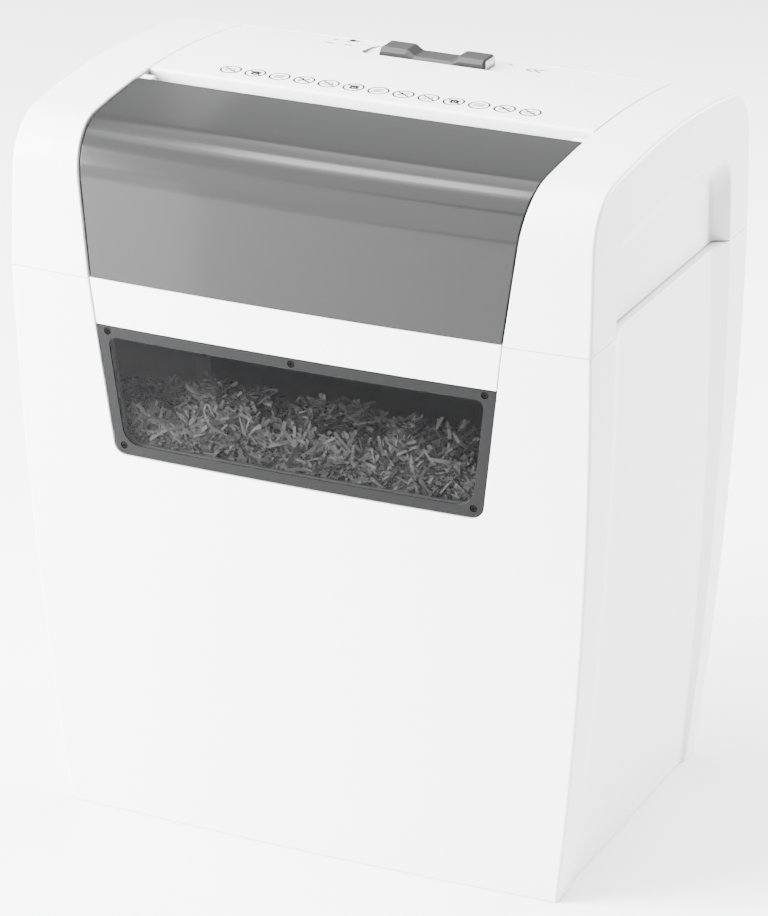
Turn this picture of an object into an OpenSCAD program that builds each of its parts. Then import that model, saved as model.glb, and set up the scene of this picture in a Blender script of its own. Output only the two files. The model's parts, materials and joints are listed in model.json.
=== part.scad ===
// Home paper shredder: a lift-off cutting head on a tapered bin.
// Millimetres. X is the width, the front faces -Y, Z is up and the bin stands on Z = 0.

/* [Body] */
// Width over the sides at the seam between bin and head
body_width = 313.6; // [308:0.2:320]
// Depth over the front and rear faces at the seam
body_depth = 218.2; // [214:0.2:224]
// Height of the seam between bin and head
seam_height = 300; // [290:1:310]
// How far each side draws in from the seam to the floor
side_draw_in = 18.3; // [14:0.1:20]
// How far the front draws in from the seam to the floor
front_draw_in = 13.7; // [10:0.1:15]
// How far the rear draws in from the seam to the floor
rear_draw_in = 8.6; // [6:0.1:12]
// Plan radius of the slightly bulged front and rear faces
face_radius = 2600; // [2200:50:4000]
// Wall thickness of the moulded shells
wall = 2.5; // [2:0.1:2.8]

/* [Centre strip] */
// Half width of the centre strip at the seam
strip_half_seam = 111.6; // [110:0.2:112]
// How much the strip widens on each side per millimetre of height
strip_slope = 0.12; // [0.1:0.01:0.13]
// Width of the visible joint lines on each side of the strip
joint_gap = 0.4; // [0.3:0.05:0.6]

/* [Window] */
// Height of the window's lower edge
window_bottom = 207.3; // [200:0.1:212]
// Height of the window's upper edge
window_top = 276.1; // [272:0.1:278]
// Width of the screwed flange around the clear pane
window_flange = 7.4; // [6:0.1:8]

/* [Head] */
// Height of the head above the seam, to the crown of the top cover
head_height = 83.6; // [83:0.1:86]
// Length of the slider knob
slider_length = 60; // [56:0.5:62]
// Travel of the slider each way from off
slider_travel = 8; // [6:0.5:9]
// Width of the straight part of the paper slot
slot_width = 6.2; // [5.6:0.1:6.6]

/* [Cutters] */
// Outside diameter of a cutting disc
disc_diameter = 40; // [39:0.1:40.4]
// Distance between the two cutter shafts
shaft_spacing = 36; // [36:1:36]
// Spacing of the discs along one shaft
disc_pitch = 8; // [7.8:0.05:8.1]
// Thickness of one disc
disc_thickness = 3.6; // [3.2:0.1:3.7]
// Number of discs on the front shaft, one more than on the rear
disc_count = 27; // [21:2:27]
// Teeth on one disc
disc_teeth = 9; // [6:1:10]

/* [Drive] */
// Teeth on each of the two gears that join the cutter shafts
sync_teeth = 18; // [18:1:18]
// Teeth on the final gear of the rear shaft
final_teeth = 28; // [28:1:28]
// Outside diameter of the motor
motor_diameter = 52; // [46:1:52]
// Length of the motor can
motor_length = 80; // [70:1:82]

/* [Hidden] */

round_facets = 64;
far = 400;
half_depth = body_depth / 2;
head_top = seam_height + head_height;
seam_gap = 0.5;
head_bottom = seam_height + seam_gap;

// Crown of the head seen from the side
crown_radius = 600;
front_corner_radius = 30;
rear_corner_radius = 28;
head_front_taper = 0.06;
front_corner_y = -(half_depth - 3) + front_corner_radius;
front_corner_z = head_top - 35.1;
rear_corner_y = half_depth - rear_corner_radius;
rear_corner_z = head_top - 33.7;

// Rim of the bin
rim_thickness = 3;
mouth_half_x = 143;
mouth_half_y = 97;
seat_depth = 4;

// Side channels of the bin and hand recesses of the head
// Pairs hold the value at the floor and the value at the seam.
channel_depth = [2, 4];
channel_front = [-70, -58];
channel_rear = [80, 62];
channel_front_wall = [5, 15];
channel_rear_wall = [4, 17];
recess_depth = 8.3;
recess_front = -72.5;
recess_rear = 78;
recess_top = seam_height + 50.5;
recess_side_slant = 4.5;
recess_top_slant = 11;

// Window
window_set_back = 0.6;
window_thickness = 3.2;
window_corner = 7;
pane_corner = 10;
pane_step = 0.8;
window_screw_head = 3.4;

// Top cover
lip_y = -20;
panel_edge_y = -32.7;
slot_half_length = 110.5;
cover_rear_y = 84;
slider_y = 63;
slider_depth = 12;
slider_height = 4;
dish_depth = 1;
dish_floor = crown(slider_y) - dish_depth;
switch_top = dish_floor - 3.9;

// Chassis plate, its mouth ring and its discharge chute
chassis_half_x = 145;
chassis_ear_x = 151;
chassis_front = -98;
chassis_rear = 99;
chute_half_x = 111;
chute_front = -52;
chute_rear = 0;
chute_wall = 2;
cover_screw_places = [[-135, -88], [135, -88], [-135, 90], [135, 90]];
boss_diameter = 8;

// Feed throat
slot_y = -26;
throat_bottom = seam_height + 56.5;
throat_neck = seam_height + 66;

// Cutting block
shaft_z = seam_height + 34;
front_shaft_y = slot_y - shaft_spacing / 2;
rear_shaft_y = slot_y + shaft_spacing / 2;
plate_x = 113;
plate_thickness = 2.5;
hex_flats = 12;
journal = 10;
running = 0.05;
spacer_diameter = 28;
plate_floor = head_bottom + 2.6;
plate_top = shaft_z + 36;
plate_front = -72;
left_plate_rear = 24;
right_plate_rear = 90;
tie_places = [[-66, shaft_z - 22], [-66, shaft_z + 22], [18, shaft_z - 24]];

// Gear train: positions in the Y-Z plane, widths along X
pressure_angle = 25;
tooth_thinning = 0.12;
sync_module = shaft_spacing / sync_teeth;
final_module = 2;
final_pinion_teeth = 12;
mid_module = 1.5;
mid_wheel_teeth = 34;
mid_pinion_teeth = 12;
fast_module = 1;
fast_wheel_teeth = 42;
motor_pinion_teeth = 12;
motor_y = 48;
motor_z = seam_height + 30;
first_angle = 58;
first_distance = fast_module * (fast_wheel_teeth + motor_pinion_teeth) / 2;
first_pos = [motor_y + first_distance * cos(first_angle), motor_z + first_distance * sin(first_angle)];
mid_distance = mid_module * (mid_wheel_teeth + mid_pinion_teeth) / 2;
final_distance = final_module * (final_teeth + final_pinion_teeth) / 2;
rear_pos = [rear_shaft_y, shaft_z];
front_pos = [front_shaft_y, shaft_z];
motor_pos = [motor_y, motor_z];
second_pos = meeting_point(rear_pos, final_distance, first_pos, mid_distance);
axle_diameter = 6;
stage_one_x = 117.5;
stage_two_x = 126.2;
stage_three_x = 134;
cover_x = 142.5;
pillar_places = [[-34, shaft_z + 32], [-42, shaft_z - 25], [80, shaft_z - 16], [28, shaft_z + 34]];

// Motor
motor_x = 111;
motor_wall = 2;
rotor_shaft = 5;
motor_screw_reach = 16;

// Electronics
board_z = seam_height + 10;
board_x = -104;
board_y = 26;
board_size = [78, 66, 1.6];
board_top = board_z + board_size[2];
post_inset = 5;
post_places = [
  for (x = [post_inset, board_size[0] - post_inset], y = [post_inset, board_size[1] - post_inset])
    [board_x + x, board_y + y]
];
relay_size = [19, 15.5, 15];
capacitor_size = [26.5, 10, 18];
terminal_size = [9, 10, 9];
lead_diameter = 2.4;
gland_place = [-88, seam_height + 20];
gland_bore = 7.6;
gland_length = 12;

// Paper sensor and interlock
lever_pivot = [-12, seam_height + 66];
trunnion = 2.4;
plunger_x = -147;
plunger_y = -88;
plunger_diameter = 5;
collar_z = head_bottom + 5.9;
bracket_z = collar_z + 9.6;

// ---------------------------------------------------------------- shapes shared by the shells

// Half width of the body at a height: the sides are one shallow arc with its crest at the seam.
function half_width(z) = body_width / 2 - side_draw_in * pow((seam_height - z) / seam_height, 2);

// Half width of the centre strip at a height.
function strip_half(z) = strip_half_seam + strip_slope * (z - seam_height);

// How far the front and rear faces fall back at a distance from the centre line.
function bulge(x) = x * x / (2 * face_radius);

// Front face of the bin at the centre line, and its place anywhere below the seam.
function bin_front(z) = -half_depth + front_draw_in * (seam_height - z) / seam_height;
function bin_rear(z) = half_depth - rear_draw_in * (seam_height - z) / seam_height;
function bin_front_at(x, z) = bin_front(z) * (1 - bulge(x) / half_depth);

// Height of the crown of the head.
function crown(y) = head_top - y * y / (2 * crown_radius);

// Value between the floor's and the seam's, with t from 0 to 1.
function between(pair, t) = pair[0] + (pair[1] - pair[0]) * t;

function arc(cy, cz, r, from, to, steps) = [
  for (i = [0:steps])
    let (a = from + (to - from) * i / steps) [cy + r * cos(a), cz + r * sin(a)]
];

function bin_outline(inset, low, high) = [
  [bin_front(low) + inset, low],
  [bin_front(high) + inset, high],
  [bin_rear(high) - inset, high],
  [bin_rear(low) - inset, low]
];

function head_outline(inset, low) = concat(
  [[-half_depth + inset - head_front_taper * (seam_height - low), low]],
  arc(front_corner_y, front_corner_z, front_corner_radius - inset, 176, 98, 8),
  [for (y = [-60:24:60]) [y, crown(y) - inset]],
  arc(rear_corner_y, rear_corner_z, rear_corner_radius - inset, 82, 0, 8),
  [[half_depth - inset, low]]
);

// A closed skin over a list of rings with the same number of points. The rings follow one another
// along an axis and each runs clockwise when it is seen from the last ring's side.
module skin(rings) {
  count = len(rings[0]);
  last = len(rings) - 1;
  sides = [
    for (i = [0:last - 1])
      for (j = [0:count - 1])
        let (a = i * count + j)
        let (b = i * count + (j + 1) % count)
        each [[a, b, b + count], [a, b + count, a + count]]
  ];
  caps = [
    [for (j = [count - 1:-1:0]) j],
    [for (j = [0:count - 1]) last * count + j]
  ];
  polyhedron(points = [for (ring = rings) each ring], faces = concat(sides, caps));
}

// The side outline carried across the width, falling back with the bulge of the faces.
module bulged_block(outline) {
  skin([
    for (t = [-1, -0.72, -0.38, 0, 0.38, 0.72, 1])
      let (x = t * body_width / 2)
      [for (p = outline) [x, p[0] * (1 - bulge(x) / half_depth), p[1]]]
  ]);
}

// The front view outline of the body, carried through the depth.
module barrel(inset, low, high) {
  steps = 12;
  levels = [for (i = [0:steps]) low + (high - low) * i / steps];
  rotate([90, 0, 0])
    linear_extrude(height = body_depth + 10, center = true)
      polygon(concat(
        [for (z = levels) [half_width(z) - inset, z]],
        [for (i = [steps:-1:0]) [inset - half_width(levels[i]), levels[i]]]
      ));
}

module bin_body(inset, low, high) {
  intersection() {
    bulged_block(bin_outline(inset, low, high));
    barrel(inset, low - 1, high + 1);
  }
}

module head_body(inset, low) {
  intersection() {
    bulged_block(head_outline(inset, low));
    barrel(inset, low - 1, head_top + 5);
  }
}

module head_shell(outer, inner) {
  difference() {
    head_body(outer, head_bottom);
    head_body(inner, head_bottom - 2);
  }
}

// Outline of the strip in the front view, with round lower corners.
function strip_outline(low, high, margin, corner) =
  let (lean = atan(strip_slope))
  let (cz = low + corner)
  let (cx = strip_half(cz) - margin - corner / cos(lean))
  concat(
    arc(cx, cz, corner, -90, -lean, 6),
    [[strip_half(high) - margin, high], [-strip_half(high) + margin, high]],
    arc(-cx, cz, corner, 180 + lean, 270, 6)
  );

module strip_prism(low, high, margin, corner, front, rear) {
  translate([0, rear, 0])
    rotate([90, 0, 0])
      linear_extrude(height = rear - front)
        polygon(strip_outline(low, high, margin, corner));
}

// A sharp-cornered part of the strip, used for the covers above the seam.
module strip_zone(margin, front, rear, low) {
  translate([0, rear, 0])
    rotate([90, 0, 0])
      linear_extrude(height = rear - front)
        polygon([
          [-strip_half(low) + margin, low],
          [strip_half(low) - margin, low],
          [strip_half(head_top + 10) - margin, head_top + 10],
          [-strip_half(head_top + 10) + margin, head_top + 10]
        ]);
}

// One side channel of the bin: shallow, with slanted side walls that steepen towards the floor.
module side_channel(grow) {
  steps = 8;
  skin([
    for (i = [0:steps])
      let (t = i / steps)
      let (z = -1 + (seam_height + 2) * t)
      let (depth = between(channel_depth, t))
      let (floor_x = half_width(z) - depth - grow)
      let (out_x = half_width(z) + 2)
      let (front_in = between(channel_front, t) - grow)
      let (rear_in = between(channel_rear, t) + grow)
      let (front_out = front_in - between(channel_front_wall, t) * (depth + 2) / depth)
      let (rear_out = rear_in + between(channel_rear_wall, t) * (depth + 2) / depth)
      [[floor_x, front_in, z], [floor_x, rear_in, z], [out_x, rear_out, z], [out_x, front_out, z]]
  ]);
}

module both_sides() {
  children();
  mirror([1, 0, 0]) children();
}

// Ring of the hand recess at one depth below the side face.
function recess_ring(depth, grow) =
  let (k = depth / recess_depth)
  let (front = recess_front + recess_side_slant * k - grow)
  let (rear = recess_rear - recess_side_slant * k + grow)
  let (top = recess_top - recess_top_slant * k + grow)
  let (front_r = 12 - 3 * k + grow)
  let (rear_r = 17 - 4 * k + grow)
  concat(
    [[front, seam_height - 3]],
    arc(front + front_r, top - 3.4 - front_r, front_r, 180, 94, 5),
    [[-25, top - 1.2], [10, top], [40, top - 1]],
    arc(rear - rear_r, top - 3 - rear_r, rear_r, 84, 0, 6),
    [[rear, seam_height - 3]]
  );

module hand_recess(grow) {
  inner_x = body_width / 2 - recess_depth - grow;
  outer_x = body_width / 2 + 2;
  inner = recess_ring(recess_depth, grow);
  outer = recess_ring(-2, grow);
  skin([
    [for (p = inner) [inner_x, p[0], p[1]]],
    [for (p = outer) [outer_x, p[0], p[1]]]
  ]);
}

// A plate in the Y-Z plane that starts at x and grows along +X.
module side_slab(x, thickness) {
  translate([x, 0, 0])
    rotate([90, 0, 90])
      linear_extrude(height = thickness)
        children();
}

// A cylinder along +X at a place in the Y-Z plane.
module rod_x(x, place, diameter, length) {
  translate([x, place[0], place[1]])
    rotate([0, 90, 0])
      cylinder(d = diameter, h = length, $fn = round_facets);
}

module tube_x(x, place, outer, inner, length) {
  difference() {
    rod_x(x, place, outer, length);
    rod_x(x - 1, place, inner, length + 2);
  }
}

module box(low, high) {
  translate(low) cube(high - low);
}

// ---------------------------------------------------------------- gears

// The crossing of two circles, on the lower side of the line that joins their centres.
function meeting_point(p, rp, q, rq) =
  let (d = norm(q - p))
  let (along = (d * d + rp * rp - rq * rq) / (2 * d))
  let (across = sqrt(rp * rp - along * along))
  let (u = (q - p) / d)
  p + along * u + across * [u[1], -u[0]];

function involute(angle) = tan(angle) * 180 / PI - angle;

// Half of a tooth's angle at a radius.
function tooth_half(m, z, r) =
  let (base = m * z / 2 * cos(pressure_angle))
  90 / z - tooth_thinning / (m * z) * 180 / PI + involute(pressure_angle)
  - involute(acos(min(1, base / r)));

function polar(r, a) = [r * cos(a), r * sin(a)];

function gear_points(m, z) =
  let (root = m * z / 2 - 1.25 * m)
  let (tip = m * z / 2 + m)
  let (start = max(root, m * z / 2 * cos(pressure_angle)))
  let (radii = [root, start + 0.01, (start + tip) / 2, tip])
  [
    for (k = [0:z - 1])
      let (centre = 360 * k / z)
      each concat(
        [for (i = [0:3]) polar(radii[i], centre - tooth_half(m, z, max(radii[i], start)))],
        [for (i = [3:-1:0]) polar(radii[i], centre + tooth_half(m, z, max(radii[i], start)))]
      )
  ];

// Angle of the line from one centre to another.
function heading(from, to) = atan2(to[1] - from[1], to[0] - from[0]);

// Turn that puts a gear's gap opposite a tooth of the gear it meshes with.
function mesh_turn(from, to, z_from, turn_from, z_to) =
  let (a = heading(from, to))
  a + 180 - 360 / z_to * (0.5 - (a - turn_from) * z_from / 360);

module gear(x, place, m, z, turn, width) {
  translate([x, place[0], place[1]])
    rotate([90, 0, 90])
      rotate([0, 0, turn])
        linear_extrude(height = width)
          polygon(gear_points(m, z));
}

first_turn = mesh_turn(motor_pos, first_pos, motor_pinion_teeth, 0, fast_wheel_teeth);
second_turn = mesh_turn(first_pos, second_pos, mid_pinion_teeth, 0, mid_wheel_teeth);
final_turn = mesh_turn(second_pos, rear_pos, final_pinion_teeth, 0, final_teeth);
front_turn = mesh_turn(rear_pos, front_pos, sync_teeth, 0, sync_teeth);

// ---------------------------------------------------------------- bin

function window_screw_places() = [
  [-strip_half(window_top - 2.7) + 5.9, window_top - 2.7],
  [0, window_top - 2.7],
  [strip_half(window_top - 2.7) - 5.9, window_top - 2.7],
  [-strip_half(window_bottom + 5) + 5.1, window_bottom + 5],
  [strip_half(window_bottom + 5) - 5.1, window_bottom + 5]
];

// Cylinders along Y at the window screws, measured back from the front face.
module at_window_screws(start, diameter, length) {
  for (p = window_screw_places())
    translate([p[0], bin_front_at(p[0], p[1]) + start, p[1]])
      rotate([-90, 0, 0])
        cylinder(d = diameter, h = length, $fn = 32);
}

module pane_prism(margin) {
  strip_prism(window_bottom + window_flange + margin, window_top - window_flange - margin,
    window_flange + margin, pane_corner, -far, 0);
}

module bin_shell() {
  pad = seat_depth + wall;
  color("white")
    difference() {
      union() {
        difference() {
          bin_body(0, 0, seam_height);
          bin_body(wall, wall, seam_height - rim_thickness);
        }
        // Backing of the side channels
        intersection() {
          bin_body(0, 0, seam_height);
          both_sides() side_channel(wall);
        }
        // Seat behind the window and the skirt
        difference() {
          intersection() {
            bin_body(0, 0, seam_height);
            strip_prism(window_bottom - 4, seam_height + 1, -3, window_corner, -far, 0);
          }
          bin_body(pad, 0, seam_height + 5);
        }
      }
      both_sides() side_channel(0);
      // Mouth
      box([-mouth_half_x, -mouth_half_y, seam_height - 2 * rim_thickness],
        [mouth_half_x, mouth_half_y, seam_height + 1]);
      // Pocket for the window and the skirt
      difference() {
        strip_prism(window_bottom - joint_gap, seam_height + 5, -joint_gap, window_corner, -far, 0);
        bin_body(seat_depth, 0, seam_height + 10);
      }
      // Clearance over the rail for the skirt's shelf
      box([-strip_half_seam, -far, seam_height - 4.5],
        [strip_half_seam, -mouth_half_y + 1, seam_height + 1]);
      pane_prism(0);
      at_window_screws(0, 2.4, 12);
    }
}

module window() {
  color([0.2, 0.2, 0.22, 0.6])
    difference() {
      intersection() {
        difference() {
          bin_body(window_set_back, 0, seam_height);
          bin_body(window_set_back + window_thickness, -1, seam_height + 1);
        }
        strip_prism(window_bottom, window_top, 0, window_corner - joint_gap, -far, 0);
      }
      difference() {
        pane_prism(0.6);
        bin_body(window_set_back + pane_step, -1, seam_height + 1);
      }
      at_window_screws(0, 2.6, 8);
      at_window_screws(-1, window_screw_head + 0.4, window_set_back + 2.3);
    }
}

module window_screws() {
  color("dimgray")
    difference() {
      union() {
        at_window_screws(window_set_back + 0.3, window_screw_head, 0.95);
        at_window_screws(window_set_back + 1, 2.2, 7);
      }
      // Cross recess
      for (p = window_screw_places())
        translate([p[0], bin_front_at(p[0], p[1]) + window_set_back + 0.5, p[1]]) {
          cube([1.8, 0.6, 0.5], center = true);
          cube([0.5, 0.6, 1.8], center = true);
        }
    }
}

// ---------------------------------------------------------------- head shells

module chassis() {
  top = plate_floor - 0.1;
  low = head_bottom + 0.1;
  ring_low = seam_height - 14;
  ring_x = mouth_half_x - 1.5;
  ring_y = mouth_half_y - 1.5;
  color("gainsboro")
    difference() {
      union() {
        box([-chassis_half_x, chassis_front, low], [chassis_half_x, chassis_rear, top]);
        // Ears under the screw bosses
        box([-chassis_ear_x, chassis_front, low], [chassis_ear_x, chassis_front + 18, top]);
        box([-chassis_ear_x, chassis_rear - 13, low], [chassis_ear_x, chassis_rear, top]);
        // Ring that nests in the bin's mouth
        difference() {
          box([-ring_x, -ring_y, ring_low], [ring_x, ring_y, low]);
          box([2 - ring_x, 2 - ring_y, ring_low - 1], [ring_x - 2, ring_y - 2, low + 1]);
        }
        // Discharge chute
        box([-chute_half_x, chute_front, seam_height - 10], [chute_half_x, chute_rear, top]);
      }
      box(
        [-chute_half_x + chute_wall, chute_front + chute_wall, seam_height - 11],
        [chute_half_x - chute_wall, chute_rear - chute_wall, top + 1]
      );
      for (p = cover_screw_places)
        translate([p[0], p[1], low - 1]) cylinder(d = 3.4, h = 5, $fn = 32);
      translate([plunger_x, plunger_y, low - 1])
        cylinder(d = plunger_diameter + 2 * running, h = 5, $fn = round_facets);
    }
}

// Everything of the head outside the centre strip, on the right.
module cheek_zone() {
  difference() {
    box([90, -far, head_bottom], [far, far, head_top + 20]);
    strip_zone(-joint_gap, -far, far, seam_height - 30);
  }
}

module cheek() {
  difference() {
    intersection() {
      union() {
        head_shell(0, wall);
        intersection() {
          head_body(0, head_bottom);
          union() {
            hand_recess(wall);
            // Screw bosses
            for (y = [cover_screw_places[0][1], cover_screw_places[2][1]])
              translate([135, y, plate_floor])
                cylinder(d = boss_diameter, h = head_top, $fn = 48);
          }
        }
      }
      cheek_zone();
    }
    hand_recess(0);
    for (y = [cover_screw_places[0][1], cover_screw_places[2][1]])
      translate([135, y, plate_floor - 1])
        cylinder(d = 3.1, h = 15, $fn = 32);
  }
}

module right_cheek() {
  color("white") cheek();
}

module left_cheek() {
  color("white") mirror([1, 0, 0]) cheek();
}

module slider_slot(low, high, length, depth) {
  translate([0, slider_y, low])
    linear_extrude(height = high - low)
      square([length, depth], center = true);
}

// Rounded dish in which the slider runs.
module slider_dish(low, high) {
  half = slider_length / 2 + slider_travel + 1.2;
  half_y = 11.5;
  corner = 5;
  translate([0, slider_y + 3, low])
    linear_extrude(height = high - low)
      hull()
        for (x = [corner - half, half - corner], y = [corner - half_y, half_y - corner])
          translate([x, y]) circle(r = corner, $fn = 32);
}

module top_cover() {
  color("white")
    difference() {
      union() {
        intersection() {
          head_shell(0, wall);
          strip_zone(joint_gap, lip_y, cover_rear_y, seam_height);
        }
        // Lip turned down into the throat
        intersection() {
          head_body(0, head_bottom);
          strip_zone(joint_gap, lip_y, lip_y + 2.4, seam_height);
          box([-far, -far, head_top - 9.5], [far, far, far]);
        }
        // End tabs beside the slot
        intersection() {
          head_shell(0.8, 0.8 + wall);
          strip_zone(joint_gap, panel_edge_y + 0.4, lip_y + 1, seam_height);
          both_sides() box([slot_half_length, -far, seam_height], [far, far, far]);
        }
        // Pad under the slider dish
        intersection() {
          head_body(0.5, head_bottom);
          translate([0, 0, -2]) slider_dish(dish_floor - 1.6, head_top);
        }
      }
      slider_dish(dish_floor, head_top + 5);
      slider_slot(dish_floor - 8, head_top, 12 + 2 * slider_travel, 5.2);
    }
}

module front_panel() {
  color("dimgray")
    intersection() {
      head_shell(1, 1 + wall);
      strip_zone(joint_gap, -far, panel_edge_y, seam_height);
      box([-far, -far, seam_height + 1.2], [far, far, far]);
    }
}

module front_skirt() {
  shelf_low = seam_height - 4;
  color("white")
    union() {
      difference() {
        intersection() {
          bin_body(joint_gap, 0, seam_height + 0.8);
          strip_zone(joint_gap, -far, 0, window_top + 0.5);
        }
        bin_body(joint_gap + wall, -1, seam_height + 5);
      }
      // Shelf that screws up under the chassis
      box([-100, -105.2, shelf_low], [100, -96.4, shelf_low + 2]);
      box([-100, -105.2, shelf_low], [100, -103, seam_height + 0.4]);
      for (x = [-80, -30, 30, 80])
        box([x - 4, -103.2, shelf_low], [x + 4, -96.4, head_bottom]);
    }
}

module rear_cover() {
  color("white")
    difference() {
      intersection() {
        head_shell(0, wall);
        strip_zone(joint_gap, cover_rear_y + joint_gap, far, seam_height);
      }
      translate([gland_place[0], 0, gland_place[1]])
        rotate([-90, 0, 0]) cylinder(d = gland_bore + 4.4, h = far, $fn = round_facets);
    }
}

// ---------------------------------------------------------------- feed throat

module throat_profile_front() {
  half = slot_width / 2;
  polygon([
    [-32.2, head_top - 5.2], [-30.6, head_top - 5.2], [slot_y - half, throat_neck],
    [slot_y - half, throat_bottom], [slot_y - half - 2, throat_bottom],
    [slot_y - half - 2, throat_neck + 1]
  ]);
}

module throat_profile_rear() {
  half = slot_width / 2;
  polygon([
    [lip_y + 0.2, head_top - 9.8], [lip_y + 2.4, head_top - 9.8],
    [slot_y + half + 2, throat_neck - 1], [slot_y + half + 2, throat_bottom],
    [slot_y + half, throat_bottom], [slot_y + half, throat_neck - 1]
  ]);
}

module feed_throat() {
  inner = slot_half_length - 0.2;
  pivot_y = lever_pivot[0];
  color("white")
    difference() {
      union() {
        side_slab(-inner, 2 * inner) throat_profile_front();
        side_slab(-inner, 2 * inner) throat_profile_rear();
        // End walls
        for (side = [-1, 1])
          side_slab(side > 0 ? inner - 2 : -inner, 2)
            polygon([
              [-30.6, head_top - 5.2], [lip_y + 0.2, head_top - 9.8],
              [slot_y + 4, throat_bottom], [slot_y - 4, throat_bottom]
            ]);
        // Ears for the sensor lever
        for (x = [-6, 4])
          side_slab(x, 2)
            polygon([
              [slot_y + slot_width / 2 + 1, throat_bottom], [pivot_y + 4, throat_neck - 4],
              [pivot_y + 4, throat_neck + 3.4], [slot_y + slot_width / 2 + 3, throat_neck + 3.4]
            ]);
      }
      box([-4, slot_y + 1, throat_bottom - 1], [4, pivot_y + 5, head_top - 14]);
      rod_x(-8, lever_pivot, trunnion + 2 * running, 16);
    }
}

module cover_screws() {
  color("silver")
    for (p = cover_screw_places)
      translate([p[0], p[1], head_bottom - 2.2]) {
        cylinder(d = 5.6, h = 2.2, $fn = 32);
        cylinder(d = 3, h = 14, $fn = 32);
      }
}

// ---------------------------------------------------------------- slider and switch

module slider_knob() {
  base = dish_floor + 0.15;
  half = slider_length / 2;
  side = slider_depth / 2;
  saddle = 1.8;
  boss = 18;
  color("gray")
    translate([0, slider_y, 0]) {
      // Plate with chamfered upper edges
      translate([0, 0, base]) {
        rotate([90, 0, 90])
          translate([0, 0, -half])
            linear_extrude(height = 2 * half)
              polygon([
                [-side, 0], [side, 0], [side, saddle - 0.8],
                [side - 1, saddle], [1 - side, saddle], [-side, saddle - 0.8]
              ]);
        // Raised end bosses
        for (s = [-1, 1])
          translate([s * (half - boss / 2), 0, 0])
            hull() {
              translate([0, 0, 0.5]) cube([boss, 2 * side, 1], center = true);
              translate([0, 0, slider_height + dish_depth - 0.5])
                cube([boss - 5, 2 * side - 4, 1], center = true);
            }
      }
      // Stem down to the switch
      translate([-3, -2, dish_floor - 6]) cube([6, 4, 6.5]);
    }
}

module slide_switch() {
  half = 14 + slider_travel;
  color("darkslategray")
    difference() {
      box([-half, slider_y - 7, switch_top - 11], [half, slider_y + 7, switch_top]);
      box([-slider_travel - 4, slider_y - 2.6, switch_top - 3.4],
        [slider_travel + 4, slider_y + 2.6, switch_top + 1]);
    }
}

module switch_bracket() {
  half = 14 + slider_travel;
  color("silver")
    for (s = [-1, 1])
      translate([s * (half + 3.2), slider_y, 0]) {
        difference() {
          union() {
            box([-3, -6, switch_top - 13], [3, 6, switch_top - 11.2]);
            box([-0.8, -6, switch_top - 13], [0.8, 6, dish_floor - 3.8]);
          }
          translate([s * 2, 0, switch_top - 14]) cylinder(d = 1.2, h = 3, $fn = 24);
        }
        box([-s * 3 - 3, -5, switch_top - 13], [-s * 3 + 3, 5, switch_top - 11.2]);
      }
}

// ---------------------------------------------------------------- cutting block

module left_plate() {
  color("silver")
    difference() {
      side_slab(-plate_x - plate_thickness, plate_thickness)
        polygon([
          [plate_front, plate_floor], [left_plate_rear, plate_floor],
          [left_plate_rear, plate_top - 8], [left_plate_rear - 8, plate_top],
          [plate_front + 8, plate_top], [plate_front, plate_top - 8]
        ]);
      for (p = [front_pos, rear_pos])
        rod_x(-plate_x - 5, p, journal + 4, 10);
      for (p = tie_places)
        rod_x(-plate_x - 5, p, 5, 10);
    }
}

module right_plate() {
  color("silver")
    difference() {
      side_slab(plate_x, plate_thickness)
        polygon([
          [plate_front, plate_floor], [right_plate_rear, plate_floor],
          [right_plate_rear, plate_top - 16], [right_plate_rear - 20, plate_top - 1],
          [plate_front + 8, plate_top], [plate_front, plate_top - 8]
        ]);
      for (p = [front_pos, rear_pos])
        rod_x(plate_x - 5, p, journal + 4, 10);
      for (p = tie_places)
        rod_x(plate_x - 5, p, 5, 10);
      for (p = [first_pos, second_pos])
        rod_x(plate_x - 5, p, axle_diameter, 10);
      rod_x(plate_x - 5, motor_pos, 14, 10);
      for (s = [-1, 1])
        translate([0, motor_y, motor_z + motor_screw_reach * s]) rotate([0, 90, 0]) {
          cylinder(d = 3.3, h = far, $fn = 32);
          translate([0, 0, plate_x + plate_thickness - 1.6])
            cylinder(d1 = 3.3, d2 = 6.6, h = 1.65, $fn = 32);
        }
    }
}

module tie_rods() {
  color("silver")
    for (p = tie_places) {
      rod_x(-plate_x - plate_thickness - 3, p, 4.9, 2 * (plate_x + plate_thickness + 3));
      rod_x(-plate_x, p, 8, 2 * plate_x);
    }
}

module shaft_bushes() {
  color("goldenrod")
    for (side = [-1, 1], p = [front_pos, rear_pos]) {
      start = side > 0 ? plate_x - 1 : -plate_x - plate_thickness;
      difference() {
        union() {
          rod_x(start, p, journal + 4, plate_thickness + 1);
          rod_x(side > 0 ? plate_x - 1 : -plate_x, p, journal + 8, 1);
        }
        rod_x(start - 1, p, journal + 2 * running, plate_thickness + 3);
      }
    }
}

module shaft(place, left, right) {
  hex = plate_x - 2;
  color("lightgray")
    difference() {
      union() {
        translate([-hex, place[0], place[1]])
          rotate([0, 90, 0]) cylinder(d = hex_flats / cos(30), h = 2 * hex, $fn = 6);
        rod_x(left, place, journal, right - left);
      }
      // Groove for the retaining ring
      tube_x(left + 2, place, journal + 4, journal - 1.6, 1.2);
    }
}

module hex_bore(place) {
  translate([-far / 2, place[0], place[1]])
    rotate([0, 90, 0]) cylinder(d = (hex_flats + 0.06) / cos(30), h = far, $fn = 6);
}

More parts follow.
